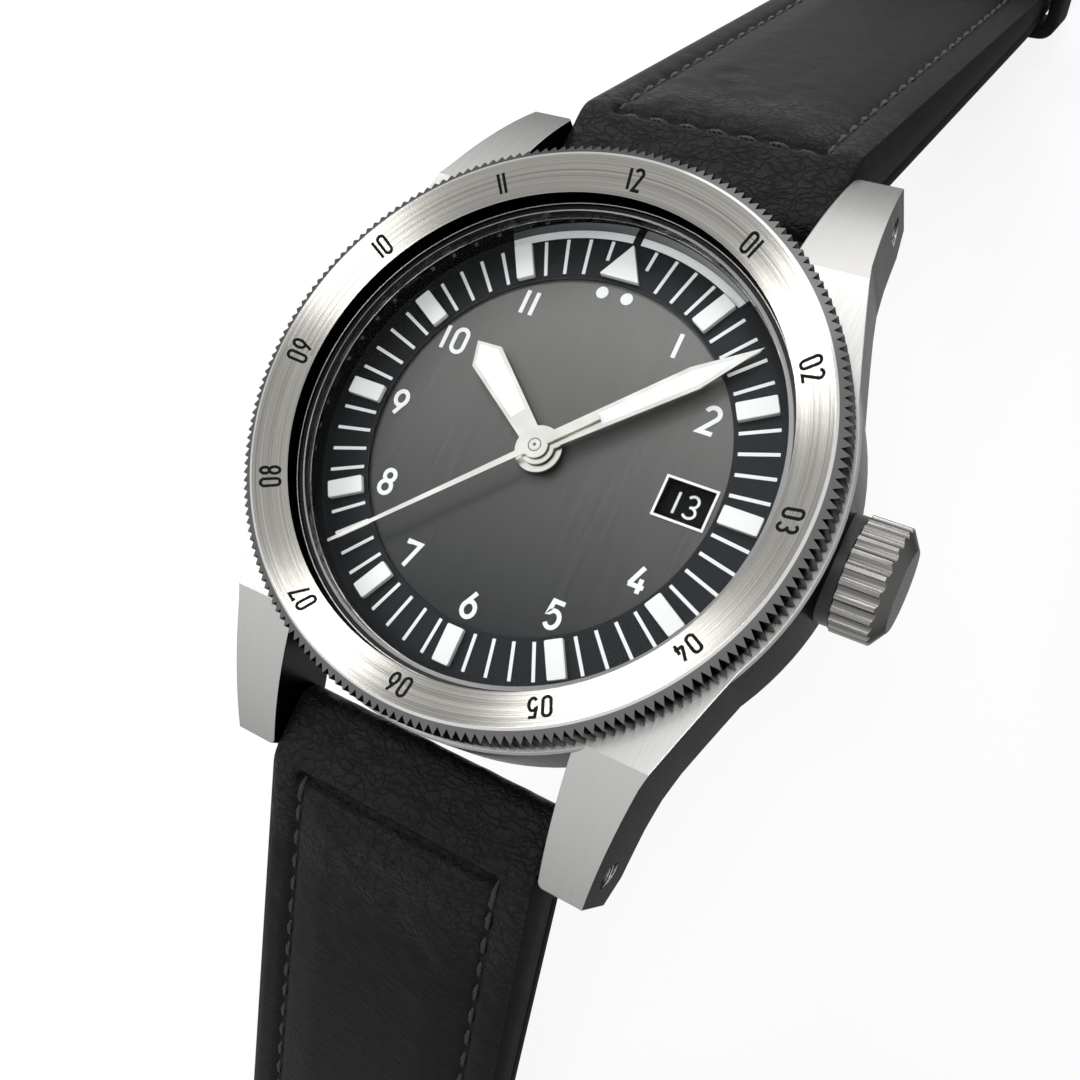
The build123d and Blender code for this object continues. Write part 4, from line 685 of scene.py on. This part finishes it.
# %% Bezel numerals
bezel_sight = (16.38 * MM, bezel_low + 1.88 * MM)
bezel_rim = (18.59 * MM, bezel_low + 2.81 * MM)
numeral_radius = 17.43 * MM
bezel_slope = Vector((bezel_rim[0] - bezel_sight[0], bezel_rim[1] - bezel_sight[1])).normalized()
numeral_height_bezel = 1.5 * MM
numeral_stroke_bezel = 0.2 * MM
numeral_gap_bezel = 0.16 * MM


def on_bezel(hour):
    """Maps a flat point to the bezel's face at an hour."""
    turn = math.radians(90 - 30 * hour)

    def place(x, y, lift):
        middle = numeral_radius + y * bezel_slope.x
        height = bezel_sight[1] + (middle - bezel_sight[0]) * bezel_slope.y / bezel_slope.x
        radius = middle - lift * bezel_slope.y
        angle = turn - x / numeral_radius
        return Vector((radius * math.cos(angle), radius * math.sin(angle), height + lift * bezel_slope.x))

    return place


numerals = bmesh.new()
for hour in range(1, 13):
    add_text(numerals, f"{hour:02d}", numeral_height_bezel, numeral_stroke_bezel, numeral_gap_bezel, 0.38,
             on_bezel(hour), 0.015 * MM)
finish_piece(numerals, "bezel_numerals", black_ink, "black_rubber", "bezel", smooth=False)

# %% [markdown]
# ### Dial printing
# Minute marks, numerals, two dots and two arcs by the triangle are pad-printed in white, a few hundredths of a
# millimetre thick. Numerals stand upright at their hours. The place of 12 holds the triangle and 3 holds the date.

# %% Dial numerals
dial_floor = dial_top - 0.25 * MM
ink = 0.03 * MM
numeral_ring = {hour: 10.94 * MM for hour in (1, 2, 4, 5, 6, 7, 8, 9, 10, 11)}
numeral_ring[9] = 11.3 * MM
numeral_height_dial = 2.0 * MM
numeral_stroke_dial = 0.3 * MM
numeral_gap_dial = 0.42 * MM


def on_dial(x0, y0, level):
    return lambda x, y, lift: Vector((x0 + x, y0 + y, level + lift))


printing = bmesh.new()
for hour, radius in numeral_ring.items():
    turn = math.radians(90 - 30 * hour)
    spot = (radius * math.cos(turn), radius * math.sin(turn))
    add_text(printing, str(hour), numeral_height_dial, numeral_stroke_dial, numeral_gap_dial, 0.53,
             on_dial(*spot, dial_floor), ink)
finish_piece(printing, "dial_numerals", white_ink, "luminous_white", "head", smooth=False)

# %% [markdown]
# The minute marks are thin bars. The dots are low discs and the arcs are a rectangle spun round the axis, which is
# the operator for any part of a ring.

# %% Minute marks, dots and arcs
mark_inner, mark_outer, mark_width = 12.61 * MM, 15.14 * MM, 0.23 * MM
marks = bmesh.new()


def add_bar(mesh, inner, outer, width, turn, level, thickness):
    """A thin bar that points away from the middle."""
    size = Matrix.Diagonal((outer - inner, width, thickness, 1.0))
    move = Matrix.Translation(((inner + outer) / 2, 0, level + thickness / 2))
    bmesh.ops.create_cube(mesh, size=1.0, matrix=Matrix.Rotation(turn, 4, "Z") @ move @ size)


for minute in range(60):
    if minute % 5 == 0:
        continue
    inner = 13.75 * MM if minute in (1, 59) else mark_inner
    add_bar(marks, inner, mark_outer, mark_width, math.radians(90 - 6 * minute), dial_top, ink)
dot_radius = 0.42 * MM
for x in (-0.9 * MM, 0.9 * MM):
    bmesh.ops.create_cone(marks, cap_ends=True, segments=32, radius1=dot_radius, radius2=dot_radius, depth=ink,
                          matrix=Matrix.Translation((x, 11.55 * MM, dial_floor + ink / 2)))


def add_arc_band(mesh, inner, outer, start, end, level, thickness):
    """Part of a flat ring: a rectangle spun round the axis. Angles clockwise from 12, in degrees."""
    turn = math.radians(90 - start)
    corners = [(inner, level), (outer, level), (outer, level + thickness), (inner, level + thickness)]
    profile = [mesh.verts.new((r * math.cos(turn), r * math.sin(turn), z)) for r, z in corners]
    face = mesh.faces.new(profile)
    bmesh.ops.spin(mesh, geom=[face], cent=(0, 0, 0), axis=(0, 0, 1), angle=-math.radians(end - start), steps=24,
                   use_duplicate=False)


for start, end in ((-32.5, -1.1), (1.1, 32.5)):
    add_arc_band(marks, 15.26 * MM, 15.8 * MM, start, end, dial_top, ink)
finish_piece(marks, "dial_marks", white_ink, "luminous_white", "head", smooth=False)

# %% [markdown]
# The date is a white 13 on the black disc under the window. It rides with the date ring, so it leaves the window
# when the ring turns.

# %% Date number
date_number = bmesh.new()
date_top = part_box("date_ring")[1].z
add_text(date_number, "13", 1.6 * MM, 0.17 * MM, 0.42 * MM, 0.56, on_dial(10.17 * MM, 0, date_top), ink)
finish_piece(date_number, "date_number", white_ink, "luminous_white", "date", smooth=False)

# %% [markdown]
# ### Strap
# A strap half is leather folded round the spring bar, padded, and sewn to a lining. It starts as a cube, cut into a
# fine grid, whose points are then laid along the strap: across, along and through its thickness. Working this way
# keeps one closed mesh, and every seam, groove and pucker is a small push on points that are already in place.

# %% The strap's path
bar_along, bar_height = 22.6, (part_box("spring_bar_tubes")[0].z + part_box("spring_bar_tubes")[1].z) / 2 / MM
floor_mm = floor_z / MM
strap_shapes = {
    "12": {"fall": 40.5, "rise": 3.6, "side": 1, "body": "strap_12"},
    "6": {"fall": 37.5, "rise": 2.9, "side": -1, "body": "strap_6"},
}
root_along, root_thickness = 6.0, 5.3
end_along, end_thickness = 66.0, 3.0
bend_radius, lining_thickness = 10.0, 1.1
roll_reach, roll_rise, roll_corner = 2.5, 1.35, 1.25
strap_half_width, strap_end_half_width, taper_start = 10.4, 9.0, 62.0
end_y = {side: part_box(f"strap_{side}_leather")[1].y / MM if side == "12"
         else -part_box(f"strap_{side}_leather")[0].y / MM for side in strap_shapes}
print("strap ends at", {k: round(v, 1) for k, v in end_y.items()})

# %% [markdown]
# The top line and the underside are cut into the same four stretches: the roll round the bar, the slope, the bend and
# the flat end. Each stretch gets its own number of rows, so rows above and below stay level with each other.

# %% Rows along the strap
row_counts = (22, 84, 14, 22)


def rounded(points, radii, step=0.3):
    """Cuts a polyline with rounded corners into its stretches: line, arc, line, arc, ..."""
    chunks = []
    start = points[0]
    for i in range(1, len(points) - 1):
        back, ahead = (points[i - 1] - points[i]).normalized(), (points[i + 1] - points[i]).normalized()
        opening = back.angle(ahead)
        reach = radii[i] / math.tan(opening / 2)
        first, last = points[i] + back * reach, points[i] + ahead * reach
        chunks.append([start, first])
        start = last
        centre = points[i] + (back + ahead).normalized() * (radii[i] / math.sin(opening / 2))
        turn = math.pi - opening
        steps = max(1, int(radii[i] * turn / step))
        shares = [k / steps for k in range(steps + 1)]
        arc_points = [centre + ((first - centre) * math.sin((1 - t) * turn) + (last - centre) * math.sin(t * turn))
                      / math.sin(turn) for t in shares]
        chunks.append(arc_points if radii[i] else [first, last])
    chunks.append([start, points[-1]])
    return chunks


def walk(line):
    """A function from 0 to 1 along a line of points, even in length."""
    reached = [0.0]
    for a, b in zip(line, line[1:]):
        reached.append(reached[-1] + (b - a).length)

    def at(share):
        goal = share * reached[-1]
        for i in range(1, len(reached)):
            if reached[i] >= goal - 1e-9:
                span = reached[i] - reached[i - 1]
                return line[i - 1].lerp(line[i], (goal - reached[i - 1]) / span if span else 0.0)
        return line[-1]

    return at


seam_rows = (-0.85, -0.5, -0.28, -0.12, 0.0, 0.12, 0.28, 0.5, 0.85)     # mm from the cross seam


def slope_shares(slope, seam_y):
    """Even rows down the slope, with close ones at the seam across the strap."""
    length = slope[-1].x - slope[0].x
    seam = [(seam_y + step - slope[0].x) / length for step in seam_rows]
    even = [i / row_counts[1] for i in range(row_counts[1])]
    return [0.0] + sorted([s for s in even[1:] if not seam[0] < s < seam[-1]] + [s for s in seam if s > 0.004])


def strap_rows(points, radii, shares=None, seam_y=0.0):
    """The spot of every row along one line of the strap, in (y, z), and the shares of the slope's rows."""
    chunks = rounded(points, radii)
    roll = [point for chunk in chunks[:-3] for point in chunk]
    shares = shares or slope_shares(chunks[-3], seam_y)
    rows = []
    for number, (stretch, count) in enumerate(zip([roll] + chunks[-3:], row_counts)):
        at = walk(stretch)
        rows += [at(share) for share in (shares if number == 1 else [i / count for i in range(count)])]
    return rows + [points[-1]], shares


def strap_lines(side, band):
    """Top and underside rows of one half, for its leather or its lining."""
    shape = strap_shapes[side]
    fall = math.radians(shape["fall"])
    cosine, sine = math.cos(fall), math.sin(fall)

    def at(along, above):
        return Vector((bar_along + along * cosine + above * sine, bar_height - along * sine + above * cosine))

    def down_to(start, end, height):
        return start.lerp(end, (start.y - height) / (start.y - end.y))

    rise, end = shape["rise"], end_y[side]
    under_root, under_end = at(root_along, rise - root_thickness), at(end_along, rise - end_thickness)
    slope = under_end - under_root
    lift = Vector((0, lining_thickness * slope.length / slope.x))
    under_foot = down_to(under_root, under_end, floor_mm)
    lined_foot = down_to(under_root + lift, under_end + lift, floor_mm + lining_thickness)
    flat_end = Vector((end, floor_mm))
    lined_end = flat_end + Vector((0, lining_thickness))
    outer_bend = bend_radius + end_thickness
    seam_y = cross_seam_y[side]
    if band == "lining":
        bottom, shares = strap_rows([under_root, under_root.lerp(under_foot, 0.01), under_foot, flat_end],
                                    [0, 0, outer_bend, 0], seam_y=under_foot.x / 2)
        top, _ = strap_rows([under_root + lift, (under_root + lift).lerp(lined_foot, 0.01), lined_foot, lined_end],
                            [0, 0, outer_bend - lining_thickness, 0], shares)
        return top, bottom
    front = bar_along - roll_reach
    middle = Vector((front, bar_height - 0.4))
    crest = down_to(at(0, rise), at(end_along, rise), bar_height + roll_rise)
    top_foot = down_to(at(0, rise), at(end_along, rise), floor_mm + end_thickness)
    top, shares = strap_rows([middle, Vector((front, bar_height + roll_rise)), crest, top_foot,
                              Vector((end, floor_mm + end_thickness))], [0, roll_corner, 2.6, bend_radius, 0],
                             seam_y=seam_y)
    heel = Vector((bar_along + 0.6, bar_height - roll_reach))
    bottom, _ = strap_rows([middle, Vector((front, bar_height - roll_reach)), heel, under_root,
                            under_root + lift, lined_foot, lined_end],
                           [0, 2.0, 0.6, 0.5, 0, outer_bend - lining_thickness, 0], shares)
    return top, bottom


# %% [markdown]
# Across the strap the rows are even, with extra points at the stitch line and at the edge. The padding lifts the
# middle and the thread pulls the leather down in its line. Beyond the bend the strap is flat and the padding is gone.

# %% Shape across the strap
seam_inset = 2.5
tip_radius = {"12": 0.6, "6": 7.5}
pad_lift, seam_depth, edge_drop = 0.42, 0.36, 0.22
cross_pitch = 15.8 / 7     # seven long stitches cross the strap
columns = [-1.0, -0.985, -0.95, -0.91, -0.87, -0.83, -0.8, -0.775, -0.76, -0.745, -0.72, -0.68, -0.62, -0.56, -0.5,
           -0.44, -0.38, -0.32, -0.26, -0.2, -0.14, -0.07]
columns = columns + [0.0] + [-c for c in reversed(columns)]


def half_width(side, y):
    """Half the strap's width, with its taper and the rounded tip of the tail."""
    share = max(0.0, (y - taper_start) / (end_y[side] - taper_start))
    width = strap_half_width + (strap_end_half_width - strap_half_width) * share
    tip = tip_radius[side]
    over = max(0.0, y - (end_y[side] - tip))
    return width - tip + math.sqrt(max(0.0, tip * tip - over * over))


def soft_step(value, low, high):
    share = min(max((value - low) / (high - low), 0.0), 1.0)
    return share * share * (3 - 2 * share)


def top_relief(side, x, y, half):
    """How far the top of the leather stands over its plain shape, in mm."""
    inset = half - abs(x)
    seam_y = cross_seam_y[side]
    padded = soft_step(y, seam_y - 0.4, seam_y + 2.6) * (1 - soft_step(y, 52.0, 70.0))
    sewn = soft_step(y, seam_y - 0.8, seam_y + 0.2)
    inside = soft_step(inset, seam_inset, seam_inset + 3.4)
    groove = math.exp(-((inset - seam_inset) / 0.42) ** 2)
    edge = 1 - soft_step(inset, 0.0, 0.7)
    # Padding, the groove of the side seam, the skived edge, the groove across, and then creases like crumpled cloth
    relief = padded * pad_lift * inside - sewn * seam_depth * groove - edge_drop * edge
    across = 1 - soft_step(abs(x), half - seam_inset - 0.2, half - seam_inset + 0.5)
    pucker = 0.8 + 0.2 * math.cos(2 * math.pi * x / cross_pitch) if side == "12" else 1.0
    relief -= across * (0.7 * pucker * math.exp(-((y - seam_y) / 0.36) ** 2)
                        + 0.16 * math.exp(-((y - seam_y) / 0.8) ** 2))
    near = 1 - soft_step(y, 32.0, 42.0)
    crumple = noise.noise(Vector((x * 0.55, y * 0.9, 3.1))) + 0.5 * noise.noise(Vector((x * 1.3, y * 1.9, 7.7)))
    return relief + (0.03 + 0.09 * near) * crumple * min(1.0, inset / 0.8)


def strap_mesh(side, band):
    """One closed mesh: a grid laid along the top rows, then drawn down to the underside rows."""
    top, bottom = strap_lines(side, band)
    direction = strap_shapes[side]["side"]
    last_row, last_column = len(top) - 1, len(columns) - 1
    mesh = bmesh.new()
    bmesh.ops.create_grid(mesh, x_segments=last_column, y_segments=last_row, size=1.0)
    crease = mesh.edges.layers.float.new("crease_edge")
    low = thicken(mesh, mesh.faces[:])
    spots = {v: (round((v.co.x + 1) / 2 * last_column), round((v.co.y + 1) / 2 * last_row)) for v in mesh.verts}
    for vert, (column, row) in spots.items():
        upper, under = top[row], bottom[row]
        y, z = under if vert in low else upper
        half = half_width(side, upper.x)
        if band == "lining":
            half -= 0.04
        x = columns[column] * half
        if vert not in low and band == "leather":
            before, after = top[max(row - 1, 0)], top[min(row + 1, last_row)]
            along = (after - before).normalized()
            relief = top_relief(side, x, upper.x, half)
            y, z = y - along.y * relief, z + along.x * relief
        vert.co = Vector((x * direction, y * direction, z)) * MM
    for edge in mesh.edges:
        a, b = (spots[v] for v in edge.verts)
        same_level = (edge.verts[0] in low) == (edge.verts[1] in low)
        rim = all(c in (0, last_column) for c, _ in (a, b)) or all(r == last_row for _, r in (a, b))
        if rim and same_level:
            edge[crease] = 0.75
    return mesh


# %% [markdown]
# Holes in the tail and the slot for the prong are cut at the end, with a Boolean, as a punch does it. The strap is
# smooth by then, so the edge of a hole stays crisp.

# %% Cut and finish the strap


def punch(places, half_across, half_along):
    """A cutter: upright posts with round ends."""
    mesh = bmesh.new()
    for x, y in places:
        made = bmesh.ops.create_cone(mesh, cap_ends=True, segments=24, radius1=half_across, radius2=half_across,
                                     depth=14 * MM)
        for vert in made["verts"]:
            stretch = (half_along - half_across) * (1 if vert.co.y > 0 else -1)
            vert.co += Vector((x, y + stretch, floor_z))
    return into_scene("punch", mesh_data(mesh, "punch"))


def smooth_and_cut(piece, cutter):
    """Subdivides a piece and cuts it, and keeps the result as its mesh."""
    refine = piece.modifiers.new("refine", "SUBSURF")
    refine.levels = refine.render_levels = 1
    cut = piece.modifiers.new("cut", "BOOLEAN")
    cut.object = cutter
    cut.operation = "DIFFERENCE"
    cut.solver = "EXACT"
    solid = bpy.data.meshes.new_from_object(piece.evaluated_get(bpy.context.evaluated_depsgraph_get()))
    piece.modifiers.clear()
    piece.data = solid
    bpy.data.objects.remove(cutter)
    print(piece.name, "has", len(solid.polygons), "faces")


hole_count, first_hole, hole_pitch = 6, 12.0, 5.8     # from the tail's tip, in mm
hole_across, hole_along = 1.0 * MM, 1.3 * MM
slot_across, slot_along = 1.3 * MM, 4.5 * MM
tail_holes = [(0.0, -(end_y["6"] - first_hole - hole_pitch * i) * MM) for i in range(hole_count)]
pin_y = (end_y["12"] - end_thickness / 2) * MM
cuts = {"6": (tail_holes, hole_across, hole_along), "12": ([(0.0, pin_y - 0.5 * MM)], slot_across, slot_along)}
for side, shape in strap_shapes.items():
    for band, material, slot in (("leather", strap_leather, "black_leather"),
                                 ("lining", lining_leather, "lining_leather")):
        name = f"strap_{side}_{band}_sewn"
        piece = finish_piece(strap_mesh(side, band), name, material, slot, shape["body"])
        smooth_and_cut(piece, punch(*cuts[side]))
        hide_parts(f"strap_{side}_{band}")

# %% [markdown]
# ### Stitching
# A stitch is a short length of two-strand thread. It starts as a cylinder with eight sides, is cut into rings, and is
# then twisted and bent so that both ends dive into the leather. Each line of stitches is one mesh.

# %% Stitches
stitch_pitch, stitch_length, thread_radius = 2.2, 1.9, 0.21
seam_stop = {"12": 13.5, "6": 5.0}     # the stitches end this far from the strap's end
cross_stitches = 7


def stitch_blank():
    """A cylinder of unit length along Z, with eight sides and rings to bend it by."""
    mesh = bmesh.new()
    bmesh.ops.create_cone(mesh, cap_ends=True, segments=8, radius1=1.0, radius2=1.0, depth=1.0)
    upright = [e for e in mesh.edges if abs(e.verts[0].co.z - e.verts[1].co.z) > 0.5]
    bmesh.ops.subdivide_edges(mesh, edges=upright, cuts=9)
    return mesh_data(mesh, "stitch")


blank = stitch_blank()


def add_stitch(mesh, start, end, up, radius=thread_radius, dive=0.34):
    """One stitch between two points. up points out of the leather."""
    mesh.from_mesh(blank)
    mesh.verts.ensure_lookup_table()
    along = end - start
    length = along.length
    along.normalize()
    side = up.cross(along).normalized()
    for vert in mesh.verts[-len(blank.vertices):]:
        # Two strands make two lobes, which turn 1.1 times along the stitch. Its ends are thinner and dive
        share = vert.co.z + 0.5
        angle = math.atan2(vert.co.y, vert.co.x)
        lobes = 1 + 0.14 * math.cos(2 * (angle - share * 2.2 * math.pi))
        taper = 0.62 + 0.38 * max(0.0, math.sin(math.pi * share)) ** 0.5
        reach = radius * lobes * taper
        height = 0.1 - dive * (2 * share - 1) ** 2
        spot = start + along * (share * length) + up * (height + reach * math.sin(angle) * 0.85)
        vert.co = (spot + side * reach * math.cos(angle)) * MM


def seam_spot(side, x, y):
    """The leather's surface at a place on the strap, with its outward direction, in mm."""
    top, _ = strap_lines(side, "leather")
    for a, b in zip(top, top[1:]):
        if a.x <= y <= b.x and b.x > a.x:
            share = (y - a.x) / (b.x - a.x)
            spot = a.lerp(b, share)
            along = (b - a).normalized()
            relief = top_relief(side, x, y, half_width(side, y))
            direction = strap_shapes[side]["side"]
            out = Vector((0, -along.y * direction, along.x))
            place = Vector((x * direction, (spot.x - along.y * relief) * direction, spot.y + along.x * relief))
            return place, out
    raise ValueError(f"no strap at {y}")


def stitch_line(side):
    """Where the thread goes down one edge, in even steps along the strap."""
    top, _ = strap_lines(side, "leather")
    last = end_y[side] - seam_stop[side]
    reached, goal, places = 0.0, 0.0, []
    for a, b in zip(top, top[1:]):
        length = (b - a).length
        while a.x >= cross_seam_y[side] and goal <= reached + length:
            y = a.lerp(b, (goal - reached) / length).x if goal > reached else a.x
            if y <= last:
                places.append(y)
            goal = max(goal, reached) + stitch_pitch
        if a.x < cross_seam_y[side]:
            goal = reached + length
        reached += length
    return places


for side, shape in strap_shapes.items():
    seam = bmesh.new()
    places = stitch_line(side)
    for edge_side in (-1, 1):
        for a, b in zip(places, places[1:]):
            share = stitch_length / stitch_pitch
            start, up = seam_spot(side, edge_side * (half_width(side, a) - seam_inset), a)
            end, _ = seam_spot(side, edge_side * (half_width(side, b) - seam_inset), a + (b - a) * share)
            add_stitch(seam, start, end, up)
    if side == "6":
        for x in (seam_inset - half_width(side, places[0]), half_width(side, places[0]) - seam_inset):
            start, up = seam_spot(side, x, cross_seam_y[side] + 0.1)
            end, _ = seam_spot(side, x, places[1] - 0.1)
            add_stitch(seam, start + up * 0.14, end + up * 0.14, up, radius=0.26, dive=0.3)
    if side == "12":
        for i in range(cross_stitches):
            x = (i - cross_stitches / 2) * cross_pitch
            start, up = seam_spot(side, x + 0.1, cross_seam_y[side])
            end, _ = seam_spot(side, x + cross_pitch - 0.1, cross_seam_y[side])
            add_stitch(seam, start, end, up, radius=0.19)
    finish_piece(seam, f"strap_{side}_stitching", black_thread, "black_leather", shape["body"])

# %% [markdown]
# ### Keepers
# Two leather loops hold the tail: one is sewn in beside the buckle and one slides. A loop is a rounded frame in
# section, drawn out along the strap and softened at its edges.

# %% Leather keepers


def keeper_mesh(half_across, low, high, wall, length):
    """A loop at the origin that runs along +Y, from a rounded rectangle with its middle taken out. In mm."""
    mesh = bmesh.new()
    bmesh.ops.create_grid(mesh, x_segments=1, y_segments=1, size=1.0)
    for vert in mesh.verts:
        vert.co = Vector((vert.co.x * (half_across + wall), 0,
                          (low + high) / 2 + vert.co.y * ((high - low) / 2 + wall)))
    bmesh.ops.bevel(mesh, geom=mesh.verts[:], offset=wall * 1.2, segments=5, profile=0.5, affect="VERTICES",
                    material=-1)
    frame_faces = bmesh.ops.inset_region(mesh, faces=mesh.faces[:], thickness=wall, use_boundary=True,
                                         use_even_offset=True)["faces"]
    inner = [f for f in mesh.faces if f not in frame_faces]
    bmesh.ops.delete(mesh, geom=inner, context="FACES")
    for vert in thicken(mesh, mesh.faces[:]):
        vert.co.y += length
    rims = [e for e in mesh.edges if len(e.link_faces) == 2 and abs(e.verts[0].co.y - e.verts[1].co.y) < 1e-6
            and e.calc_face_angle(0) > 1.0]
    bmesh.ops.bevel(mesh, geom=rims, offset=0.28, segments=3, profile=0.5, affect="EDGES", material=-1)
    return mesh


def place_keeper(name, node, mesh, turn, spot, body):
    for vert in mesh.verts:
        vert.co = (Matrix.Rotation(turn, 3, "X") @ vert.co + spot) * MM
    piece = finish_piece(mesh, name, keeper_leather, "black_leather", body)
    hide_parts(node)
    return piece


keeper_wall, keeper_length, keeper_play, keeper_room = 1.1, 5.0, 0.3, 3.6
fixed_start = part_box("keeper_fixed")[0].y / MM
fixed_half = half_width("12", fixed_start) + keeper_play
fixed_low = floor_mm + lining_thickness + keeper_wall
place_keeper("keeper_fixed_sewn", "keeper_fixed",
             keeper_mesh(fixed_half, fixed_low, floor_mm + end_thickness + keeper_room, keeper_wall, keeper_length),
             0.0, Vector((0, fixed_start, 0)), "strap_12")
upper = strap_shapes["12"]
slope_angle = math.radians(upper["fall"]) - math.atan2(root_thickness - end_thickness, end_along - root_along)
loose_along = 56.5     # mm along the strap from the bar, as far out as the bend allows
loose_share = (loose_along - root_along) / (end_along - root_along)
loose_above = upper["rise"] - root_thickness + (root_thickness - end_thickness) * loose_share
fall = math.radians(upper["fall"])
loose_spot = Vector((0, bar_along + loose_along * math.cos(fall) + loose_above * math.sin(fall),
                     bar_height - loose_along * math.sin(fall) + loose_above * math.cos(fall)))
place_keeper("keeper_loose_sewn", "keeper_loose",
             keeper_mesh(strap_half_width + keeper_play, -keeper_play,
                         root_thickness - keeper_play + keeper_room / 2, keeper_wall, keeper_length),
             -slope_angle, loose_spot, "loose_keeper")

# %% [markdown]
# ## Floor, light and camera
# The watch stands on its strap ends on a plain white floor. The floor is shown white to the camera by Is Camera Ray,
# so no extra light falls on the object. Metal sees the same white floor.

# %% Floor and world


def background_rays(tree):
    """1 for the rays that show the background: those of the camera, of metal and of glass."""
    path = add(tree, "ShaderNodeLightPath")
    first = add(tree, "ShaderNodeMath", {0: path.outputs["Is Camera Ray"], 1: path.outputs["Is Glossy Ray"]},
                operation="MAXIMUM")
    return add(tree, "ShaderNodeMath", {0: first, 1: path.outputs["Is Transmission Ray"]}, operation="MAXIMUM")


def white_floor():
    """Painted board. Most of its white is its own to those rays, and the rest takes the object's shadow."""
    material, tree, shader, place = start_material("white studio floor")
    plug(tree, shader, {"Roughness": 0.8})
    clouded(tree, shader, place, "#fafafa", "#ffffff", 0.01)
    own = add(tree, "ShaderNodeEmission", {"Color": "#ffffff", "Strength": 1.0})
    share = add(tree, "ShaderNodeMapRange", {0: background_rays(tree), 1: 0.0, 2: 1.0, 3: 0.0, 4: 0.85})
    mixed = add(tree, "ShaderNodeMixShader", {0: share, 1: shader, 2: own})
    plug(tree, tree.nodes["Material Output"], {"Surface": mixed})
    return material


floor_mesh = bmesh.new()
bmesh.ops.create_grid(floor_mesh, x_segments=2, y_segments=2, size=3.0)
for vert in floor_mesh.verts:
    vert.co.z = floor_z - 0.0002
floor = into_scene("floor", mesh_data(floor_mesh, "floor"))
floor.data.materials.append(white_floor())

world = bpy.data.worlds.new("studio")
bpy.context.scene.world = world
world.use_nodes = True
sky = world.node_tree
strength = add(sky, "ShaderNodeMapRange", {0: background_rays(sky), 1: 0.0, 2: 1.0, 3: 0.5, 4: 1.0})
plug(sky, sky.nodes["Background"], {"Color": "#ffffff", "Strength": strength})

# %% [markdown]
# Four small softboxes hang where the bezel mirrors them to the camera at half past 1, half past 4, 7 and 10 o'clock.
# Circular brushing draws each of their highlights out into a bright sector, with darker steel between. A wide fifth
# one stands low behind 12 o'clock, for the strap there.

# %% Lamps


def soft_lamp(name, direction, power, size=0.13, distance=0.5):
    data = bpy.data.lights.new(name, "AREA")
    data.shape = "SQUARE"
    data.size, data.energy = size, power
    lamp = into_scene(name, data)
    toward = Vector(direction).normalized()
    lamp.location = toward * distance
    lamp.rotation_euler = toward.to_track_quat("Z", "Y").to_euler()


soft_lamp("left softbox", (-0.75, -0.03, 0.65), 0.6)
soft_lamp("back softbox", (-0.25, 0.63, 0.74), 0.6)
soft_lamp("overhead softbox", (0.12, -0.02, 0.99), 0.5)
soft_lamp("far softbox", (-0.71, 0.49, 0.5), 0.6)
soft_lamp("strap softbox", (0.1, 0.92, 0.38), 0.4, size=0.4)

# %% [markdown]
# The camera stands where the photograph's did: to the right of 6 o'clock, and above. Its place and turn were found
# from the minute marks, whose real places are known. The frame is square, and the shift gives the photograph's crop.

# %% Camera
camera_spot = Vector((31.301, -16.109, 78.337)) * MM
camera_right = Vector((0.828149, 0.424635, -0.365862))
camera_up = Vector((-0.346372, 0.90089, 0.261578))
camera_back = camera_right.cross(camera_up)
focal_pixels, frame_pixels = 1198.04, 1080
middle_pixel = (440.0, 560.0)
camera_data = bpy.data.cameras.new("camera")
camera_data.sensor_width = 36.0
camera_data.lens = focal_pixels / frame_pixels * camera_data.sensor_width
camera_data.shift_x = (frame_pixels / 2 - middle_pixel[0]) / frame_pixels
camera_data.shift_y = (middle_pixel[1] - frame_pixels / 2) / frame_pixels
camera_data.clip_start = 0.001
camera = into_scene("camera", camera_data)
turn = Matrix((camera_right, camera_up, camera_back)).transposed()
camera.matrix_world = Matrix.Translation(camera_spot) @ turn.to_4x4()
bpy.context.scene.camera = camera
bpy.context.scene.view_settings.view_transform = "Standard"
print("lens", round(camera_data.lens, 2), "mm")
